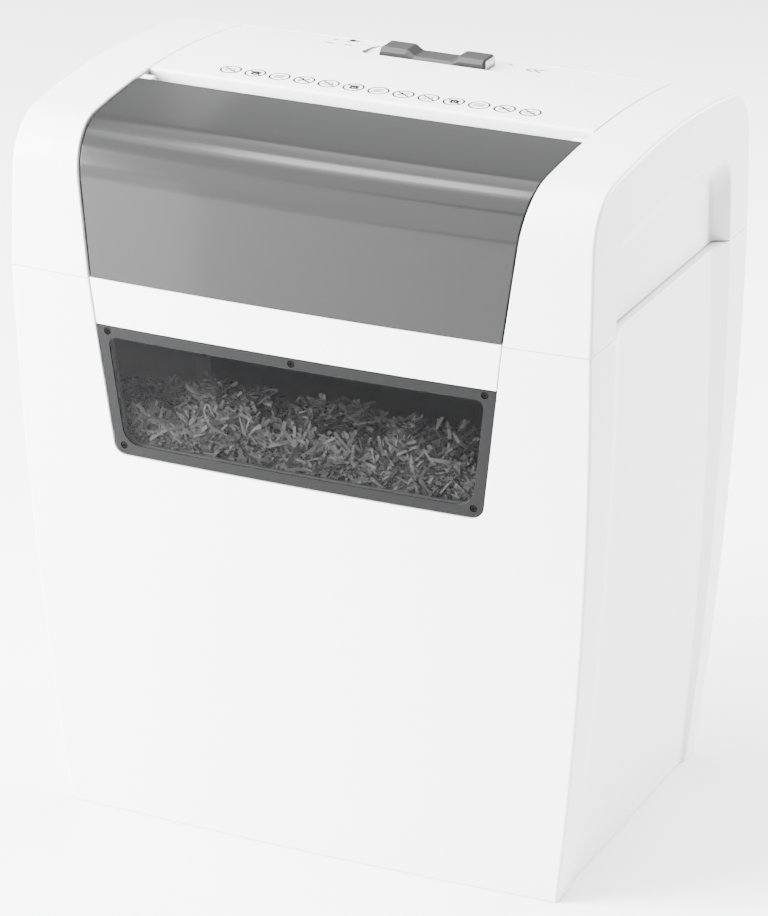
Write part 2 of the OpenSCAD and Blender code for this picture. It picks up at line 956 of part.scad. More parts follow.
// One disc seen along the shaft: hooked teeth on a smaller body.
function disc_points(direction) =
  let (tip = disc_diameter / 2)
  let (root = tip - 1.6)
  [
    for (k = [0:disc_teeth - 1])
      let (a = 360 * k / disc_teeth)
      let (step = 360 / disc_teeth)
      each [
        polar(root, direction * a),
        polar(tip, direction * (a + 0.06 * step)),
        polar(tip, direction * (a + 0.36 * step)),
        polar(root + 0.4, direction * (a + 0.66 * step))
      ]
  ];

module disc_stack(place, count, direction) {
  difference() {
    for (i = [0:count - 1])
      translate([(i - (count - 1) / 2) * disc_pitch - disc_thickness / 2, place[0], place[1]])
        rotate([90, 0, 90])
          rotate([0, 0, i * 60])
            linear_extrude(height = disc_thickness)
              polygon(disc_points(direction));
    hex_bore(place);
  }
}

module spacer_stack(place, count) {
  gap = disc_pitch - disc_thickness;
  first = -(count - 1) / 2 * disc_pitch;
  end_length = plate_x - 1.3 - (disc_thickness / 2 - first);
  difference() {
    union() {
      for (i = [0:count - 2])
        rod_x(first + i * disc_pitch + disc_thickness / 2 + 0.02, place, spacer_diameter, gap - 0.04);
      // End spacers between the outer discs and the bushes
      for (start = [disc_thickness / 2 - first + 0.02, 1.3 - plate_x])
        rod_x(start, place, spacer_diameter - 8, end_length - 0.02);
    }
    rod_x(-plate_x, place, journal + 0.1, 2 * plate_x);
    hex_bore(place);
  }
}

// One stripper finger: it reaches from the back bar to the spacer between two discs.
module comb_profile(place, side) {
  bar_y = place[0] + side * (disc_diameter / 2 + 4.4);
  tip_y = place[0] + side * 8;
  difference() {
    polygon([
      [bar_y, place[1] - 11], [bar_y, place[1] + 11],
      [tip_y, place[1] + 15], [tip_y, place[1] - 15]
    ]);
    translate(place) circle(d = spacer_diameter + 0.8, $fn = round_facets);
  }
}

module stripper(place, count, side) {
  bar_y = place[0] + side * (disc_diameter / 2 + 2.4);
  finger = disc_pitch - disc_thickness - 0.8;
  color("darkgray")
    union() {
      for (i = [0:count - 2])
        side_slab((i - (count - 2) / 2) * disc_pitch - finger / 2, finger)
          comb_profile(place, side);
      // Back bar
      side_slab(-plate_x + 0.2, 2 * plate_x - 0.4)
        translate([bar_y + side * 1.4, place[1]]) square([2.4, 16], center = true);
    }
}

module front_shaft() {
  shaft(front_pos, -plate_x - 7, stage_one_x + 8);
}

module rear_shaft() {
  shaft(rear_pos, -plate_x - 7, cover_x + 2.2);
}

module front_discs() {
  color("slategray") disc_stack(front_pos, disc_count, -1);
}

module rear_discs() {
  color("slategray") disc_stack(rear_pos, disc_count - 1, 1);
}

module front_spacers() {
  color("lightgray") spacer_stack(front_pos, disc_count);
}

module rear_spacers() {
  color("lightgray") spacer_stack(rear_pos, disc_count - 1);
}

module front_stripper() {
  stripper(front_pos, disc_count, -1);
}

module rear_stripper() {
  stripper(rear_pos, disc_count - 1, 1);
}

// Retaining ring: an open ring in the shaft's groove.
module retaining_ring(place) {
  color("dimgray")
    difference() {
      tube_x(-plate_x - 4.9, place, journal + 5, journal - 1.5, 1);
      box([-plate_x - 8, place[0] - 3, place[1] - 12], [-plate_x, place[0] + 3, place[1]]);
    }
}

module front_ring() {
  retaining_ring(front_pos);
}

module rear_ring() {
  retaining_ring(rear_pos);
}

// ---------------------------------------------------------------- gear train

module front_gear() {
  color("ivory")
    difference() {
      gear(stage_one_x, front_pos, sync_module, sync_teeth, front_turn, 7);
      rod_x(stage_one_x - 1, front_pos, journal + 0.04, 10);
    }
}

module rear_gear() {
  color("ivory")
    difference() {
      gear(stage_one_x, rear_pos, sync_module, sync_teeth, 0, 7);
      rod_x(stage_one_x - 1, rear_pos, journal + 0.04, 10);
    }
}

module final_gear() {
  color("ivory")
    difference() {
      union() {
        gear(stage_three_x, rear_pos, final_module, final_teeth, final_turn, 7);
        rod_x(stage_two_x, rear_pos, 15, stage_three_x - stage_two_x);
      }
      rod_x(stage_one_x, rear_pos, journal + 0.04, 40);
      // Lightening holes
      for (a = [30:60:330])
        rod_x(stage_three_x - 1, rear_pos + polar(17.5, a), 8, 10);
    }
}

module first_compound_gear() {
  color("ivory")
    difference() {
      union() {
        gear(stage_one_x, first_pos, fast_module, fast_wheel_teeth, first_turn, 6);
        gear(stage_one_x + 5.9, first_pos, mid_module, mid_pinion_teeth, 0, 9.4);
      }
      rod_x(stage_one_x - 1, first_pos, axle_diameter + 2 * running, 30);
    }
}

module second_compound_gear() {
  color("ivory")
    difference() {
      union() {
        gear(stage_two_x, second_pos, mid_module, mid_wheel_teeth, second_turn, 6);
        gear(stage_two_x + 5.9, second_pos, final_module, final_pinion_teeth, 0, 9.4);
      }
      rod_x(stage_two_x - 1, second_pos, axle_diameter + 2 * running, 30);
    }
}

module gear_axles() {
  color("silver")
    for (p = [first_pos, second_pos])
      rod_x(plate_x, p, axle_diameter, cover_x + 2.4 - plate_x);
}

module gearbox_cover() {
  color("darkgray")
    difference() {
      side_slab(cover_x, 2.5)
        hull()
          for (p = pillar_places)
            translate(p) circle(r = 5.5, $fn = 32);
      rod_x(cover_x - 1, rear_pos, journal + 2 * running, 6);
      for (p = [first_pos, second_pos])
        rod_x(cover_x - 1, p, axle_diameter, 6);
      for (p = pillar_places)
        rod_x(cover_x - 1, p, 3, 6);
    }
}

module gearbox_pillars() {
  start = plate_x + plate_thickness;
  color("silver")
    for (p = pillar_places) {
      rod_x(start, p, 7, cover_x - start);
      rod_x(cover_x, p, 2.9, 2.4);
    }
}

// ---------------------------------------------------------------- motor

module motor_can() {
  start = motor_x - motor_length;
  color("silver")
    difference() {
      rod_x(start, motor_pos, motor_diameter, motor_length + 1.9);
      rod_x(start - 1, motor_pos, motor_diameter - 2 * motor_wall, motor_length - 1);
      rod_x(start, motor_pos, rotor_shaft + 2 * running, motor_length + 10);
      for (s = [-1, 1])
        rod_x(motor_x - 6, motor_pos + [0, motor_screw_reach * s], 3, 12);
    }
}

module motor_magnets() {
  bore = motor_diameter - 2 * motor_wall - 10;
  outer = motor_diameter - 2 * motor_wall - 0.2;
  color("black")
    for (turn = [30, 210])
      translate([motor_x - motor_length + 14, motor_y, motor_z])
        rotate([0, 90, 0])
          rotate([0, 0, turn])
            rotate_extrude(angle = 120, $fn = 96)
              translate([bore / 2, 0]) square([(outer - bore) / 2, 50]);
}

module motor_end_cap() {
  start = motor_x - motor_length;
  color("dimgray")
    difference() {
      union() {
        rod_x(start - 5, motor_pos, motor_diameter, 5);
        rod_x(start - 0.1, motor_pos, motor_diameter - 2 * motor_wall - 0.1, 3.1);
        rod_x(start - 9, motor_pos, 14, 5);
      }
      rod_x(start - 10, motor_pos, rotor_shaft + 2 * running, 20);
    }
}

module motor_brushes() {
  color("saddlebrown")
    for (s = [-1, 1])
      translate([motor_x - motor_length + 3.2, motor_y - 2.5, motor_z + (s > 0 ? 9.2 : -17.2)])
        cube([6, 5, 8]);
}

module motor_rotor() {
  start = motor_x - motor_length;
  stack = motor_diameter - 2 * motor_wall - 12;
  color("peru")
    difference() {
      union() {
        rod_x(start - 8, motor_pos, rotor_shaft, stage_one_x + 7 - start + 8);
        rod_x(start + 17, motor_pos, stack, 44);
        rod_x(start + 3.2, motor_pos, 18, 12);
      }
      // Winding slots
      for (a = [0:60:300])
        translate([start + 16, motor_y, motor_z])
          rotate([a, 0, 0])
            translate([0, -1.5, stack / 2 - 6]) cube([46, 3, 8]);
    }
}

module motor_pinion() {
  color("gold")
    difference() {
      gear(stage_one_x, motor_pos, fast_module, motor_pinion_teeth, 0, 6);
      rod_x(stage_one_x - 1, motor_pos, rotor_shaft + 0.02, 10);
    }
}

module motor_screws() {
  color("silver")
    for (s = [-1, 1])
      translate([motor_x - 3.6, motor_y, motor_z + motor_screw_reach * s])
        rotate([0, 90, 0]) {
          cylinder(d = 2.9, h = plate_x + plate_thickness - motor_x + 3.5, $fn = 32);
          translate([0, 0, plate_x + plate_thickness - motor_x + 2.1])
            cylinder(d1 = 2.9, d2 = 6.2, h = 1.5, $fn = 32);
        }
}

// ---------------------------------------------------------------- electronics

module circuit_board() {
  color("seagreen")
    difference() {
      translate([board_x, board_y, board_z]) cube(board_size);
      for (p = post_places)
        translate([p[0], p[1], board_z - 1]) cylinder(d = 3.2, h = 5, $fn = 32);
    }
}

module board_posts() {
  color("white")
    for (p = post_places)
      translate([p[0], p[1], plate_floor]) {
        cylinder(d = 7, h = board_z - plate_floor, $fn = 32);
        cylinder(d = 3, h = board_top - plate_floor + 1.6, $fn = 32);
        translate([0, 0, board_top - plate_floor]) cylinder(d = 5, h = 1.6, $fn = 32);
      }
}

module relays() {
  color("royalblue")
    for (x = [12, 34])
      translate([board_x + x, board_y + 14, board_top]) cube(relay_size);
}

module mains_capacitor() {
  color("goldenrod")
    translate([board_x + 14, board_y + 38, board_top]) cube(capacitor_size);
}

module board_terminals() {
  color("whitesmoke")
    for (y = [14, 28, 42])
      translate([board_x + board_size[0] - 12, board_y + y, board_top])
        difference() {
          cube(terminal_size);
          translate([4, 2, 3]) cube([6, 6, 4]);
        }
}

module thermal_cutout() {
  top = motor_z + motor_diameter / 2;
  color("black")
    box([56, motor_y - 5, top + 0.1], [76, motor_y + 5, top + 4.6]);
}

// Insulated wire that runs along +X and swings gently from one end to the other.
module lead(start, end, diameter) {
  steps = 16;
  sides = 10;
  skin([
    for (i = [0:steps])
      let (t = i / steps)
      let (swing = t * t * (3 - 2 * t))
      [
        for (k = [0:sides - 1])
          let (turn = -360 * k / sides)
          [
            start[0] + (end[0] - start[0]) * t,
            start[1] + (end[1] - start[1]) * swing + diameter / 2 * cos(turn),
            start[2] + (end[2] - start[2]) * swing + diameter / 2 * sin(turn)
          ]
      ]
  ]);
}

module motor_leads() {
  terminal_face = board_x + board_size[0] - 2.9;
  cap_face = motor_x - motor_length - 6.5;
  color("firebrick")
    for (i = [0, 1])
      lead(
        [terminal_face, board_y + 19 + 14 * i, board_top + 5],
        [cap_face, motor_y, motor_z + (i == 0 ? -14 : 14)],
        lead_diameter
      );
}

module cord_gland() {
  face = half_depth - bulge(gland_place[0]);
  color("black")
    translate([gland_place[0], face, gland_place[1]])
      rotate([90, 0, 0])
        difference() {
          union() {
            cylinder(d = gland_bore + 4.2, h = gland_length, $fn = round_facets);
            translate([0, 0, wall + 0.8]) cylinder(d = gland_bore + 10, h = 3, $fn = round_facets);
          }
          translate([0, 0, -1]) cylinder(d = gland_bore, h = 20, $fn = round_facets);
        }
}

// ---------------------------------------------------------------- interlock and paper sensor

module interlock_plunger() {
  color("orange")
    translate([plunger_x, plunger_y, 0]) {
      translate([0, 0, seam_height + 0.3])
        cylinder(d = plunger_diameter, h = bracket_z - seam_height - 0.5, $fn = round_facets);
      translate([0, 0, collar_z])
        cylinder(d = 8, h = 1.5, $fn = round_facets);
    }
}

module plunger_spring() {
  turns = 4;
  steps = turns * 14;
  wire_radius = 0.4;
  coil_radius = plunger_diameter / 2 + 0.8;
  low = collar_z + 1.6 + wire_radius;
  rise = bracket_z - 0.1 - wire_radius - low;
  color("silver")
    translate([plunger_x, plunger_y, low])
      skin([
        for (i = [0:steps])
          let (a = 360 * turns * i / steps)
          [
            for (k = [0:5])
              let (r = coil_radius + wire_radius * cos(60 * k))
              [r * cos(a), r * sin(a), rise * i / steps + wire_radius * sin(60 * k)]
          ]
      ]);
}

module interlock_switch() {
  color("darkred")
    difference() {
      union() {
        box([plunger_x - 4, plunger_y - 4, bracket_z], [plunger_x + 4, plunger_y + 10, bracket_z + 12]);
        // Leg down to the chassis, inboard of the plunger
        box([plunger_x + 4.8, plunger_y - 4, plate_floor],
          [plunger_x + 7, plunger_y + 6, bracket_z + 12]);
        box([plunger_x + 3.9, plunger_y - 4, bracket_z],
          [plunger_x + 5, plunger_y + 6, bracket_z + 12]);
      }
      translate([plunger_x, plunger_y, bracket_z - 1])
        cylinder(d = plunger_diameter + 0.4, h = 3, $fn = 32);
    }
}

module paper_lever() {
  py = lever_pivot[0];
  pz = lever_pivot[1];
  color("black")
    union() {
      rod_x(-5.8, lever_pivot, trunnion, 11.6);
      side_slab(-1.5, 3)
        polygon([
          [py + 2.4, pz + 2], [py - 3, pz + 2], [slot_y - 0.6, pz - 2.6],
          [slot_y - 1.2, pz - 5], [slot_y + 0.6, pz - 5.2], [py - 3, pz - 2], [py + 2.4, pz - 2]
        ]);
      // Weighted tail
      box([-3.5, py + 2, pz - 2], [3.5, py + 11, pz + 2]);
    }
}

module sensor_switch() {
  low = lever_pivot[1] + 6.2;
  color("darkred")
    union() {
      box([-10, lever_pivot[0] + 5, low], [10, lever_pivot[0] + 13, low + 7]);
      // Bracket down to the throat's ears
      for (s = [-1, 1])
        box([s * 8 - 1.5, lever_pivot[0] + 1, low + 1],
          [s * 8 + 1.5, lever_pivot[0] + 5.1, low + 5]);
      for (s = [-1, 1])
        box([s * 7.6 - 1.5, lever_pivot[0] - 3, throat_neck - 3],
          [s * 7.6 + 1.5, lever_pivot[0] + 3, low + 5]);
    }
}

// ---------------------------------------------------------------- assembly

bin_shell();
window();
window_screws();
chassis();
left_cheek();
right_cheek();
top_cover();
front_panel();
front_skirt();
rear_cover();
feed_throat();
cover_screws();
slider_knob();
slide_switch();
switch_bracket();
left_plate();
right_plate();
tie_rods();
shaft_bushes();
front_stripper();
rear_stripper();
front_shaft();
front_discs();
front_spacers();
front_gear();
front_ring();
rear_shaft();
rear_discs();
rear_spacers();
rear_gear();
rear_ring();
final_gear();
gearbox_cover();
gearbox_pillars();
gear_axles();
first_compound_gear();
second_compound_gear();
motor_can();
motor_magnets();
motor_end_cap();
motor_brushes();
motor_screws();
motor_rotor();
motor_pinion();
circuit_board();
board_posts();
relays();
mains_capacitor();
board_terminals();
thermal_cutout();
motor_leads();
cord_gland();
interlock_plunger();
plunger_spring();
interlock_switch();
paper_lever();
sensor_switch();
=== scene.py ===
import json
import math
import random

import bmesh
import bpy
import numpy as np
from mathutils import Matrix, Vector
from mathutils.geometry import delaunay_2d_cdt


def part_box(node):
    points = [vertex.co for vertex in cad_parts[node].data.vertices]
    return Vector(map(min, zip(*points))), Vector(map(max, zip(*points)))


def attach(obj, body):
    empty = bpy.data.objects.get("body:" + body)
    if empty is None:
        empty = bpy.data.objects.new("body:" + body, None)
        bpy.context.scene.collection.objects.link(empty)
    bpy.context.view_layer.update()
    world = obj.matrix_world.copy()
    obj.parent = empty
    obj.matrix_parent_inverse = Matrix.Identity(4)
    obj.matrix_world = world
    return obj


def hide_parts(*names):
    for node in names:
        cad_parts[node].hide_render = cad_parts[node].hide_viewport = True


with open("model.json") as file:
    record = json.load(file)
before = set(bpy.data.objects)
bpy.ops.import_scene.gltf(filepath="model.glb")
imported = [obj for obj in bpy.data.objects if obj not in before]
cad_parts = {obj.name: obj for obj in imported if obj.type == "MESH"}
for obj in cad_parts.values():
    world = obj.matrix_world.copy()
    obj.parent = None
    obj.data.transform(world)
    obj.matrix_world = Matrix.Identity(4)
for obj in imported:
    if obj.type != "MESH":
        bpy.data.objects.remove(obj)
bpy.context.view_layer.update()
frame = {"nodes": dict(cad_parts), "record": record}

MM = 0.001
FULL_TURN = 2 * math.pi


def new_object(name, data):
    obj = bpy.data.objects.new(name, data)
    bpy.context.scene.collection.objects.link(obj)
    return obj


# ---- camera

CAMERA_PLACE = (892.7, -1905.2, 1060.0)
CAMERA_AZIMUTH = math.radians(24.954)
CAMERA_ELEVATION = math.radians(22.614)
CAMERA_LENS = 173.68
CAMERA_SENSOR = 36
CAMERA_SHIFT = (-0.0120, -0.0007)
CAMERA_CLIP = (0.05, 60)


def make_camera():
    data = bpy.data.cameras.new("camera")
    data.lens = CAMERA_LENS
    data.sensor_width = CAMERA_SENSOR
    data.shift_x, data.shift_y = CAMERA_SHIFT
    data.clip_start, data.clip_end = CAMERA_CLIP
    cam = new_object("camera", data)
    a, e = CAMERA_AZIMUTH, CAMERA_ELEVATION
    back = Vector((math.sin(a) * math.cos(e), -math.cos(a) * math.cos(e), math.sin(e)))
    right = Vector((math.cos(a), math.sin(a), 0))
    turn = Matrix((right, back.cross(right), back)).transposed()
    cam.matrix_world = Matrix.Translation(Vector(CAMERA_PLACE) * MM) @ turn.to_4x4()
    bpy.context.scene.camera = cam


make_camera()

# ---- the body's surfaces, in millimetres


def box_mm(node):
    low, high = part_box(node)
    return np.array(low) / MM, np.array(high) / MM


BIN_HIGH = box_mm("bin_shell")[1]
SEAM = float(BIN_HIGH[2])
HALF_WIDTH = float(BIN_HIGH[0])
HALF_DEPTH = float(BIN_HIGH[1])
HEAD_TOP = float(box_mm("top_cover")[1][2])
HEAD_BOTTOM = float(box_mm("right_cheek")[0][2])
WINDOW_LOW, WINDOW_HIGH = (float(b[2]) for b in box_mm("window"))
# How far the bin's faces draw in from the seam to the floor
SIDE_DRAW_IN = 18.3
FRONT_DRAW_IN = 13.7
REAR_DRAW_IN = 8.6
# The front and rear faces bulge slightly in plan, and the head's roof is a shallow crown
FACE_RADIUS = 2600.0
CROWN_RADIUS = 600.0
# Centre strip between the cheeks: half width at the seam, and its growth with height
STRIP_HALF = 111.6
STRIP_SLOPE = 0.12
# Roll-over arcs of the side view: centre y, centre z, radius
FRONT_ARC = (-HALF_DEPTH + 33.0, HEAD_TOP - 35.1, 30.0)
REAR_ARC = (HALF_DEPTH - 28.0, HEAD_TOP - 33.7, 28.0)
FRONT_LEAN = 0.06
JOINT = 0.4
POCKET_DEPTH = 4.0
FLANGE = 5.8
MOUTH_X, MOUTH_Y = 143.0, 97.0
LIP_Y = -20.0
PANEL_EDGE_Y = -32.7
COVER_REAR_Y = 84.0
TAB_X = 114.5
TAB_REAR_Y = -26.3
TAB_DROP = 1.2
SLIDER_Y = float(sum(b[1] for b in box_mm("slider_knob")) / 2)


def half_width(z):
    return HALF_WIDTH - SIDE_DRAW_IN * ((SEAM - z) / SEAM) ** 2


def strip_half(z):
    return STRIP_HALF + STRIP_SLOPE * (z - SEAM)


def bulge(x):
    return 1 - x * x / (2 * FACE_RADIUS) / HALF_DEPTH


def bin_front(z):
    return -HALF_DEPTH + FRONT_DRAW_IN * (SEAM - z) / SEAM


def bin_rear(z):
    return HALF_DEPTH - REAR_DRAW_IN * (SEAM - z) / SEAM


def crown(y):
    return HEAD_TOP - y * y / (2 * CROWN_RADIUS)


def arc(cy, cz, r, start, end, steps):
    a = np.radians(np.linspace(start, end, steps + 1))
    return np.column_stack([cy + r * np.cos(a), cz + r * np.sin(a)])


def head_profile(inset, low):
    """Side view of the head from its front lower edge over the crown to its rear lower edge."""
    y0, z0, r0 = FRONT_ARC
    y1, z1, r1 = REAR_ARC
    front = arc(y0, z0, r0 - inset, 176, 98, 22)
    rear = arc(y1, z1, r1 - inset, 82, 0, 20)
    start = np.array([-HALF_DEPTH + inset + FRONT_LEAN * (low - SEAM), low])
    rise = start + (front[0] - start) * np.linspace(0, 1, 8, endpoint=False)[:, None]
    ys = np.linspace(front[-1][0], rear[0][0], 26)[1:-1]
    top = np.column_stack([ys, crown(ys) - inset])
    foot = np.array([HALF_DEPTH - inset, low])
    fall = rear[-1] + (foot - rear[-1]) * np.linspace(0, 1, 8)[1:, None]
    return np.vstack([rise, front, top, rear, fall])


def profile_normals(p):
    t = np.gradient(p, axis=0)
    n = np.column_stack([-t[:, 1], t[:, 0]])
    return n / np.linalg.norm(n, axis=1)[:, None]


def lengths(p):
    return np.concatenate([[0], np.cumsum(np.linalg.norm(np.diff(p, axis=0), axis=1))])


def at_lengths(p, s):
    d = lengths(p)
    return np.column_stack([np.interp(s, d, p[:, k]) for k in range(p.shape[1])])


# ---- mesh building

TINY = 1e-12


def closed(line):
    return np.vstack([line, line[:1]])


def subdivide(points, longest):
    out = [points[0]]
    for a, b in zip(points[:-1], points[1:]):
        n = max(1, int(math.ceil(np.linalg.norm(b - a) / longest)))
        out += [a + (b - a) * k / n for k in range(1, n + 1)]
    return np.array(out)


def fillet(points, radii, steps=5, loop=False):
    """A polyline with an arc of the given radius at each corner, the same number of points for each."""
    points = np.array(points, float)
    n = len(points)
    out = []
    for i, r in enumerate(radii):
        if r <= 0 or (not loop and i in (0, n - 1)):
            out.append(points[i])
            continue
        p, a, b = points[i], points[i - 1], points[(i + 1) % n]
        u, v = a - p, b - p
        lu, lv = np.linalg.norm(u), np.linalg.norm(v)
        u, v = u / lu, v / lv
        half = math.acos(max(-1, min(1, float(u @ v)))) / 2
        # An arc between the two tangent points, which take at most just under half of each side
        cut = min(r / math.tan(half), 0.49 * lu, 0.49 * lv)
        arc_radius = cut * math.tan(half)
        centre = p + (u + v) / np.linalg.norm(u + v) * (arc_radius / math.sin(half))
        s = p + u * cut - centre
        e = p + v * cut - centre
        w = math.acos(max(-1, min(1, float(s @ e) / (arc_radius * arc_radius + TINY))))
        for k in range(steps + 1):
            t = k / steps
            if w < 1e-6:
                q = s * (1 - t) + e * t
            else:
                q = (s * math.sin((1 - t) * w) + e * math.sin(t * w)) / math.sin(w)
            out.append(centre + q)
    return np.array(out)


def outward(points, loop=False):
    """Normals on the right of a polyline, scaled so that an offset keeps its distance at corners."""
    p = np.array(points, float)
    nxt, prv = np.roll(p, -1, 0), np.roll(p, 1, 0)
    a, b = p - prv, nxt - p
    if not loop:
        a[0], b[-1] = b[0], a[-1]
    a /= np.linalg.norm(a, axis=1)[:, None] + TINY
    b /= np.linalg.norm(b, axis=1)[:, None] + TINY
    na = np.column_stack([a[:, 1], -a[:, 0]])
    nb = np.column_stack([b[:, 1], -b[:, 0]])
    n = na + nb
    n /= np.linalg.norm(n, axis=1)[:, None] + TINY
    return n / np.clip((n * na).sum(1), 0.5, 1)[:, None]


def circle(cx, cy, r, n=36):
    return [(cx + r * math.cos(a), cy + r * math.sin(a)) for a in np.linspace(0, FULL_TURN, n + 1)[:-1]]


def away_from(centre, line):
    """Normals of a closed 2-D line that point away from the centre."""
    normals = outward(line, True)
    return normals if normals[0] @ (line[0] - np.array(centre)) > 0 else -normals


def inside(points, loops):
    """Even-odd test of 2-D points against closed loops."""
    points = np.asarray(points)
    hit = np.zeros(len(points), bool)
    for loop in loops:
        x0, y0 = loop[:, 0], loop[:, 1]
        x1, y1 = np.roll(x0, -1), np.roll(y0, -1)
        for i in range(len(loop)):
            if y0[i] == y1[i]:
                continue
            crosses = (y0[i] > points[:, 1]) != (y1[i] > points[:, 1])
            x = x0[i] + (points[:, 1] - y0[i]) * (x1[i] - x0[i]) / (y1[i] - y0[i])
            hit ^= crosses & (points[:, 0] < x)
    return hit


class Shape:
    """Collects patches in millimetres and makes one mesh object of them."""

    def __init__(self):
        self.points, self.faces, self.slots, self.count = [], [], [], 0

    def add(self, points):
        points = np.asarray(points, float).reshape(-1, 3)
        start = self.count
        self.points.append(points)
        self.count += len(points)
        return start

    def grid(self, p, wrap=False, slot=0, skip=None):
        p = np.asarray(p, float)
        n, m = p.shape[:2]
        start = self.add(p)
        for i in range(n - 1):
            for j in range(m if wrap else m - 1):
                if skip and skip(i, j):
                    continue
                a, b = start + i * m + j, start + i * m + (j + 1) % m
                self.faces.append((a, b, b + m, a + m))
                self.slots.append(slot)

    def region(self, loops, place, spacing=None, slot=0):
        """Triangles inside closed 2-D loops (even-odd), each point carried to 3-D by place."""
        loops = [np.asarray(p, float) for p in loops]
        pts = [Vector(p) for loop in loops for p in loop]
        edges, k = [], 0
        for loop in loops:
            n = len(loop)
            edges += [(k + i, k + (i + 1) % n) for i in range(n)]
            k += n
        if spacing:
            every = np.vstack(loops)
            low, high = every.min(0), every.max(0)
            xs = np.arange(low[0] + spacing / 2, high[0], spacing)
            ys = np.arange(low[1] + spacing / 2, high[1], spacing)
            g = np.array([(x, y) for x in xs for y in ys])
            if len(g):
                g = g[inside(g, loops)]
                line = np.vstack([subdivide(closed(p), spacing * 0.4) for p in loops])
                far = [((line - q) ** 2).sum(1).min() > (0.45 * spacing) ** 2 for q in g]
                pts += [Vector(q) for q in g[np.array(far, bool)]]
        verts, _, tris, _, _, _ = delaunay_2d_cdt(pts, edges, [], 0, 1e-5)
        verts = np.array([tuple(v) for v in verts])
        tris = np.array([t for t in tris if len(t) == 3])
        keep = inside(verts[tris].mean(1), loops)
        start = self.add([place(*v) for v in verts])
        for t in tris[keep]:
            self.faces.append(tuple(int(start + q) for q in t))
            self.slots.append(slot)

    def build(self, name, body, materials, thick=0, mirror=False, sharp=38, centre=(0, 0, 200),
              merge=0.004, weld=True):
        """One object riding on a body; its faces look away from the centre, and a wall grows inwards."""
        pts = np.vstack(self.points)
        if mirror:
            pts = pts * [-1, 1, 1]
            centre = (-centre[0], centre[1], centre[2])
        mesh = bpy.data.meshes.new(name)
        mesh.from_pydata((pts * MM).tolist(), [], self.faces)
        mesh.polygons.foreach_set("material_index", self.slots)
        bm = bmesh.new()
        bm.from_mesh(mesh)
        if weld:
            bmesh.ops.remove_doubles(bm, verts=bm.verts, dist=merge * MM)
            bmesh.ops.dissolve_degenerate(bm, edges=bm.edges, dist=merge * MM / 4)
        bmesh.ops.recalc_face_normals(bm, faces=bm.faces)
        c = Vector(centre) * MM
        if sum(f.calc_area() * f.normal.dot(f.calc_center_median() - c) for f in bm.faces) < 0:
            bmesh.ops.reverse_faces(bm, faces=bm.faces)
        bm.to_mesh(mesh)
        bm.free()
        for m in materials:
            mesh.materials.append(m)
        mesh.shade_smooth()
        mesh.set_sharp_from_angle(angle=math.radians(sharp))
        obj = new_object(name, mesh)
        if thick:
            mod = obj.modifiers.new("thickness", "SOLIDIFY")
            mod.thickness = thick * MM
            mod.offset = -1
        mod = obj.modifiers.new("normals", "WEIGHTED_NORMAL")
        mod.keep_sharp = True
        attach(obj, body)
        return obj


def edge_steps(radius, flange, steps=4):
    """(distance from the edge, depth) from a turned-in flange to the top of a rounded edge."""
    out = [(0, radius + flange)]
    for k in range(steps + 1):
        f = math.pi / 2 * k / steps
        out.append((radius * (1 - math.cos(f)), radius * (1 - math.sin(f))))
    return out


def tongue_steps(radius, flange):
    """Like edge_steps, with a small step across the seam just behind the face."""
    return [(-0.35, 1 + flange), (-0.35, 0.9), (0, 0.9)] + edge_steps(radius, 0)[1:]


def sheet(shape, rows, half_x, cols, side_steps, slot=0, skip=None):
    """A panel over the side view: rows of (y, z, ny, nz, depth), columns across, both sides rolled in."""
    grid = []
    e = side_steps[-1][0]
    for y, z, ny, nz, dv in rows:
        w = half_x(z)
        line = [(-w + o, du) for o, du in side_steps[:-1]]
        line += [(t * (w - e), 0) for t in cols]
        line += [(w - o, du) for o, du in side_steps[-2::-1]]
        grid.append([(x, (y - ny * max(du, dv)) * bulge(x), z - nz * max(du, dv)) for x, du in line])
    shape.grid(grid, slot=slot, skip=skip)


def rows_along(profile, start_steps, end_steps, inner):
    """Rows for sheet: the steps round off the profile's two ends, with rows at the inner lengths between."""
    total = lengths(profile)[-1]
    e0, e1 = start_steps[-1][0], end_steps[-1][0]
    between = [v for v in inner if e0 < v < total - e1]
    s = [o for o, _ in start_steps] + between + [total - o for o, _ in end_steps[::-1]]
    depth = [d for _, d in start_steps] + [0] * len(between) + [d for _, d in end_steps[::-1]]
    held = np.clip(s, 0, total)
    p = at_lengths(profile, held)
    n = profile_normals(profile)
    n = np.column_stack([np.interp(held, lengths(profile), n[:, k]) for k in range(2)])
    out = []
    t0 = (profile[1] - profile[0]) / np.linalg.norm(profile[1] - profile[0])
    t1 = (profile[-1] - profile[-2]) / np.linalg.norm(profile[-1] - profile[-2])
    for k, v in enumerate(s):
        q = p[k] + (t0 * v if v < 0 else 0) + (t1 * (v - total) if v > total else 0)
        out.append((q[0], q[1], n[k][0], n[k][1], depth[k]))
    return out


def hole_outline(rows, cols, cell):
    """Outline of a block of cells left out of a grid, as the points that cell gives for row and column."""
    (i0, i1), (j0, j1) = rows, cols
    line = [cell(i0, j) for j in range(j0, j1)] + [cell(i, j1) for i in range(i0, i1)]
    line += [cell(i1, j) for j in range(j1, j0, -1)] + [cell(i, j0) for i in range(i1, i0, -1)]
    return np.array(line)


# ---- materials


def nodes_of(name):
    mat = bpy.data.materials.new(name)
    mat.use_nodes = True
    tree = mat.node_tree
    return mat, tree, tree.nodes["Principled BSDF"]


def put(node, values):
    for name, value in values.items():
        node.inputs[name].default_value = value


def link(tree, *ends):
    """Links each (node, output) to the (node, input) after it, given as a flat run of four per link."""
    for a, out, b, into in zip(*[iter(ends)] * 4):
        tree.links.new(a.outputs[out], b.inputs[into])


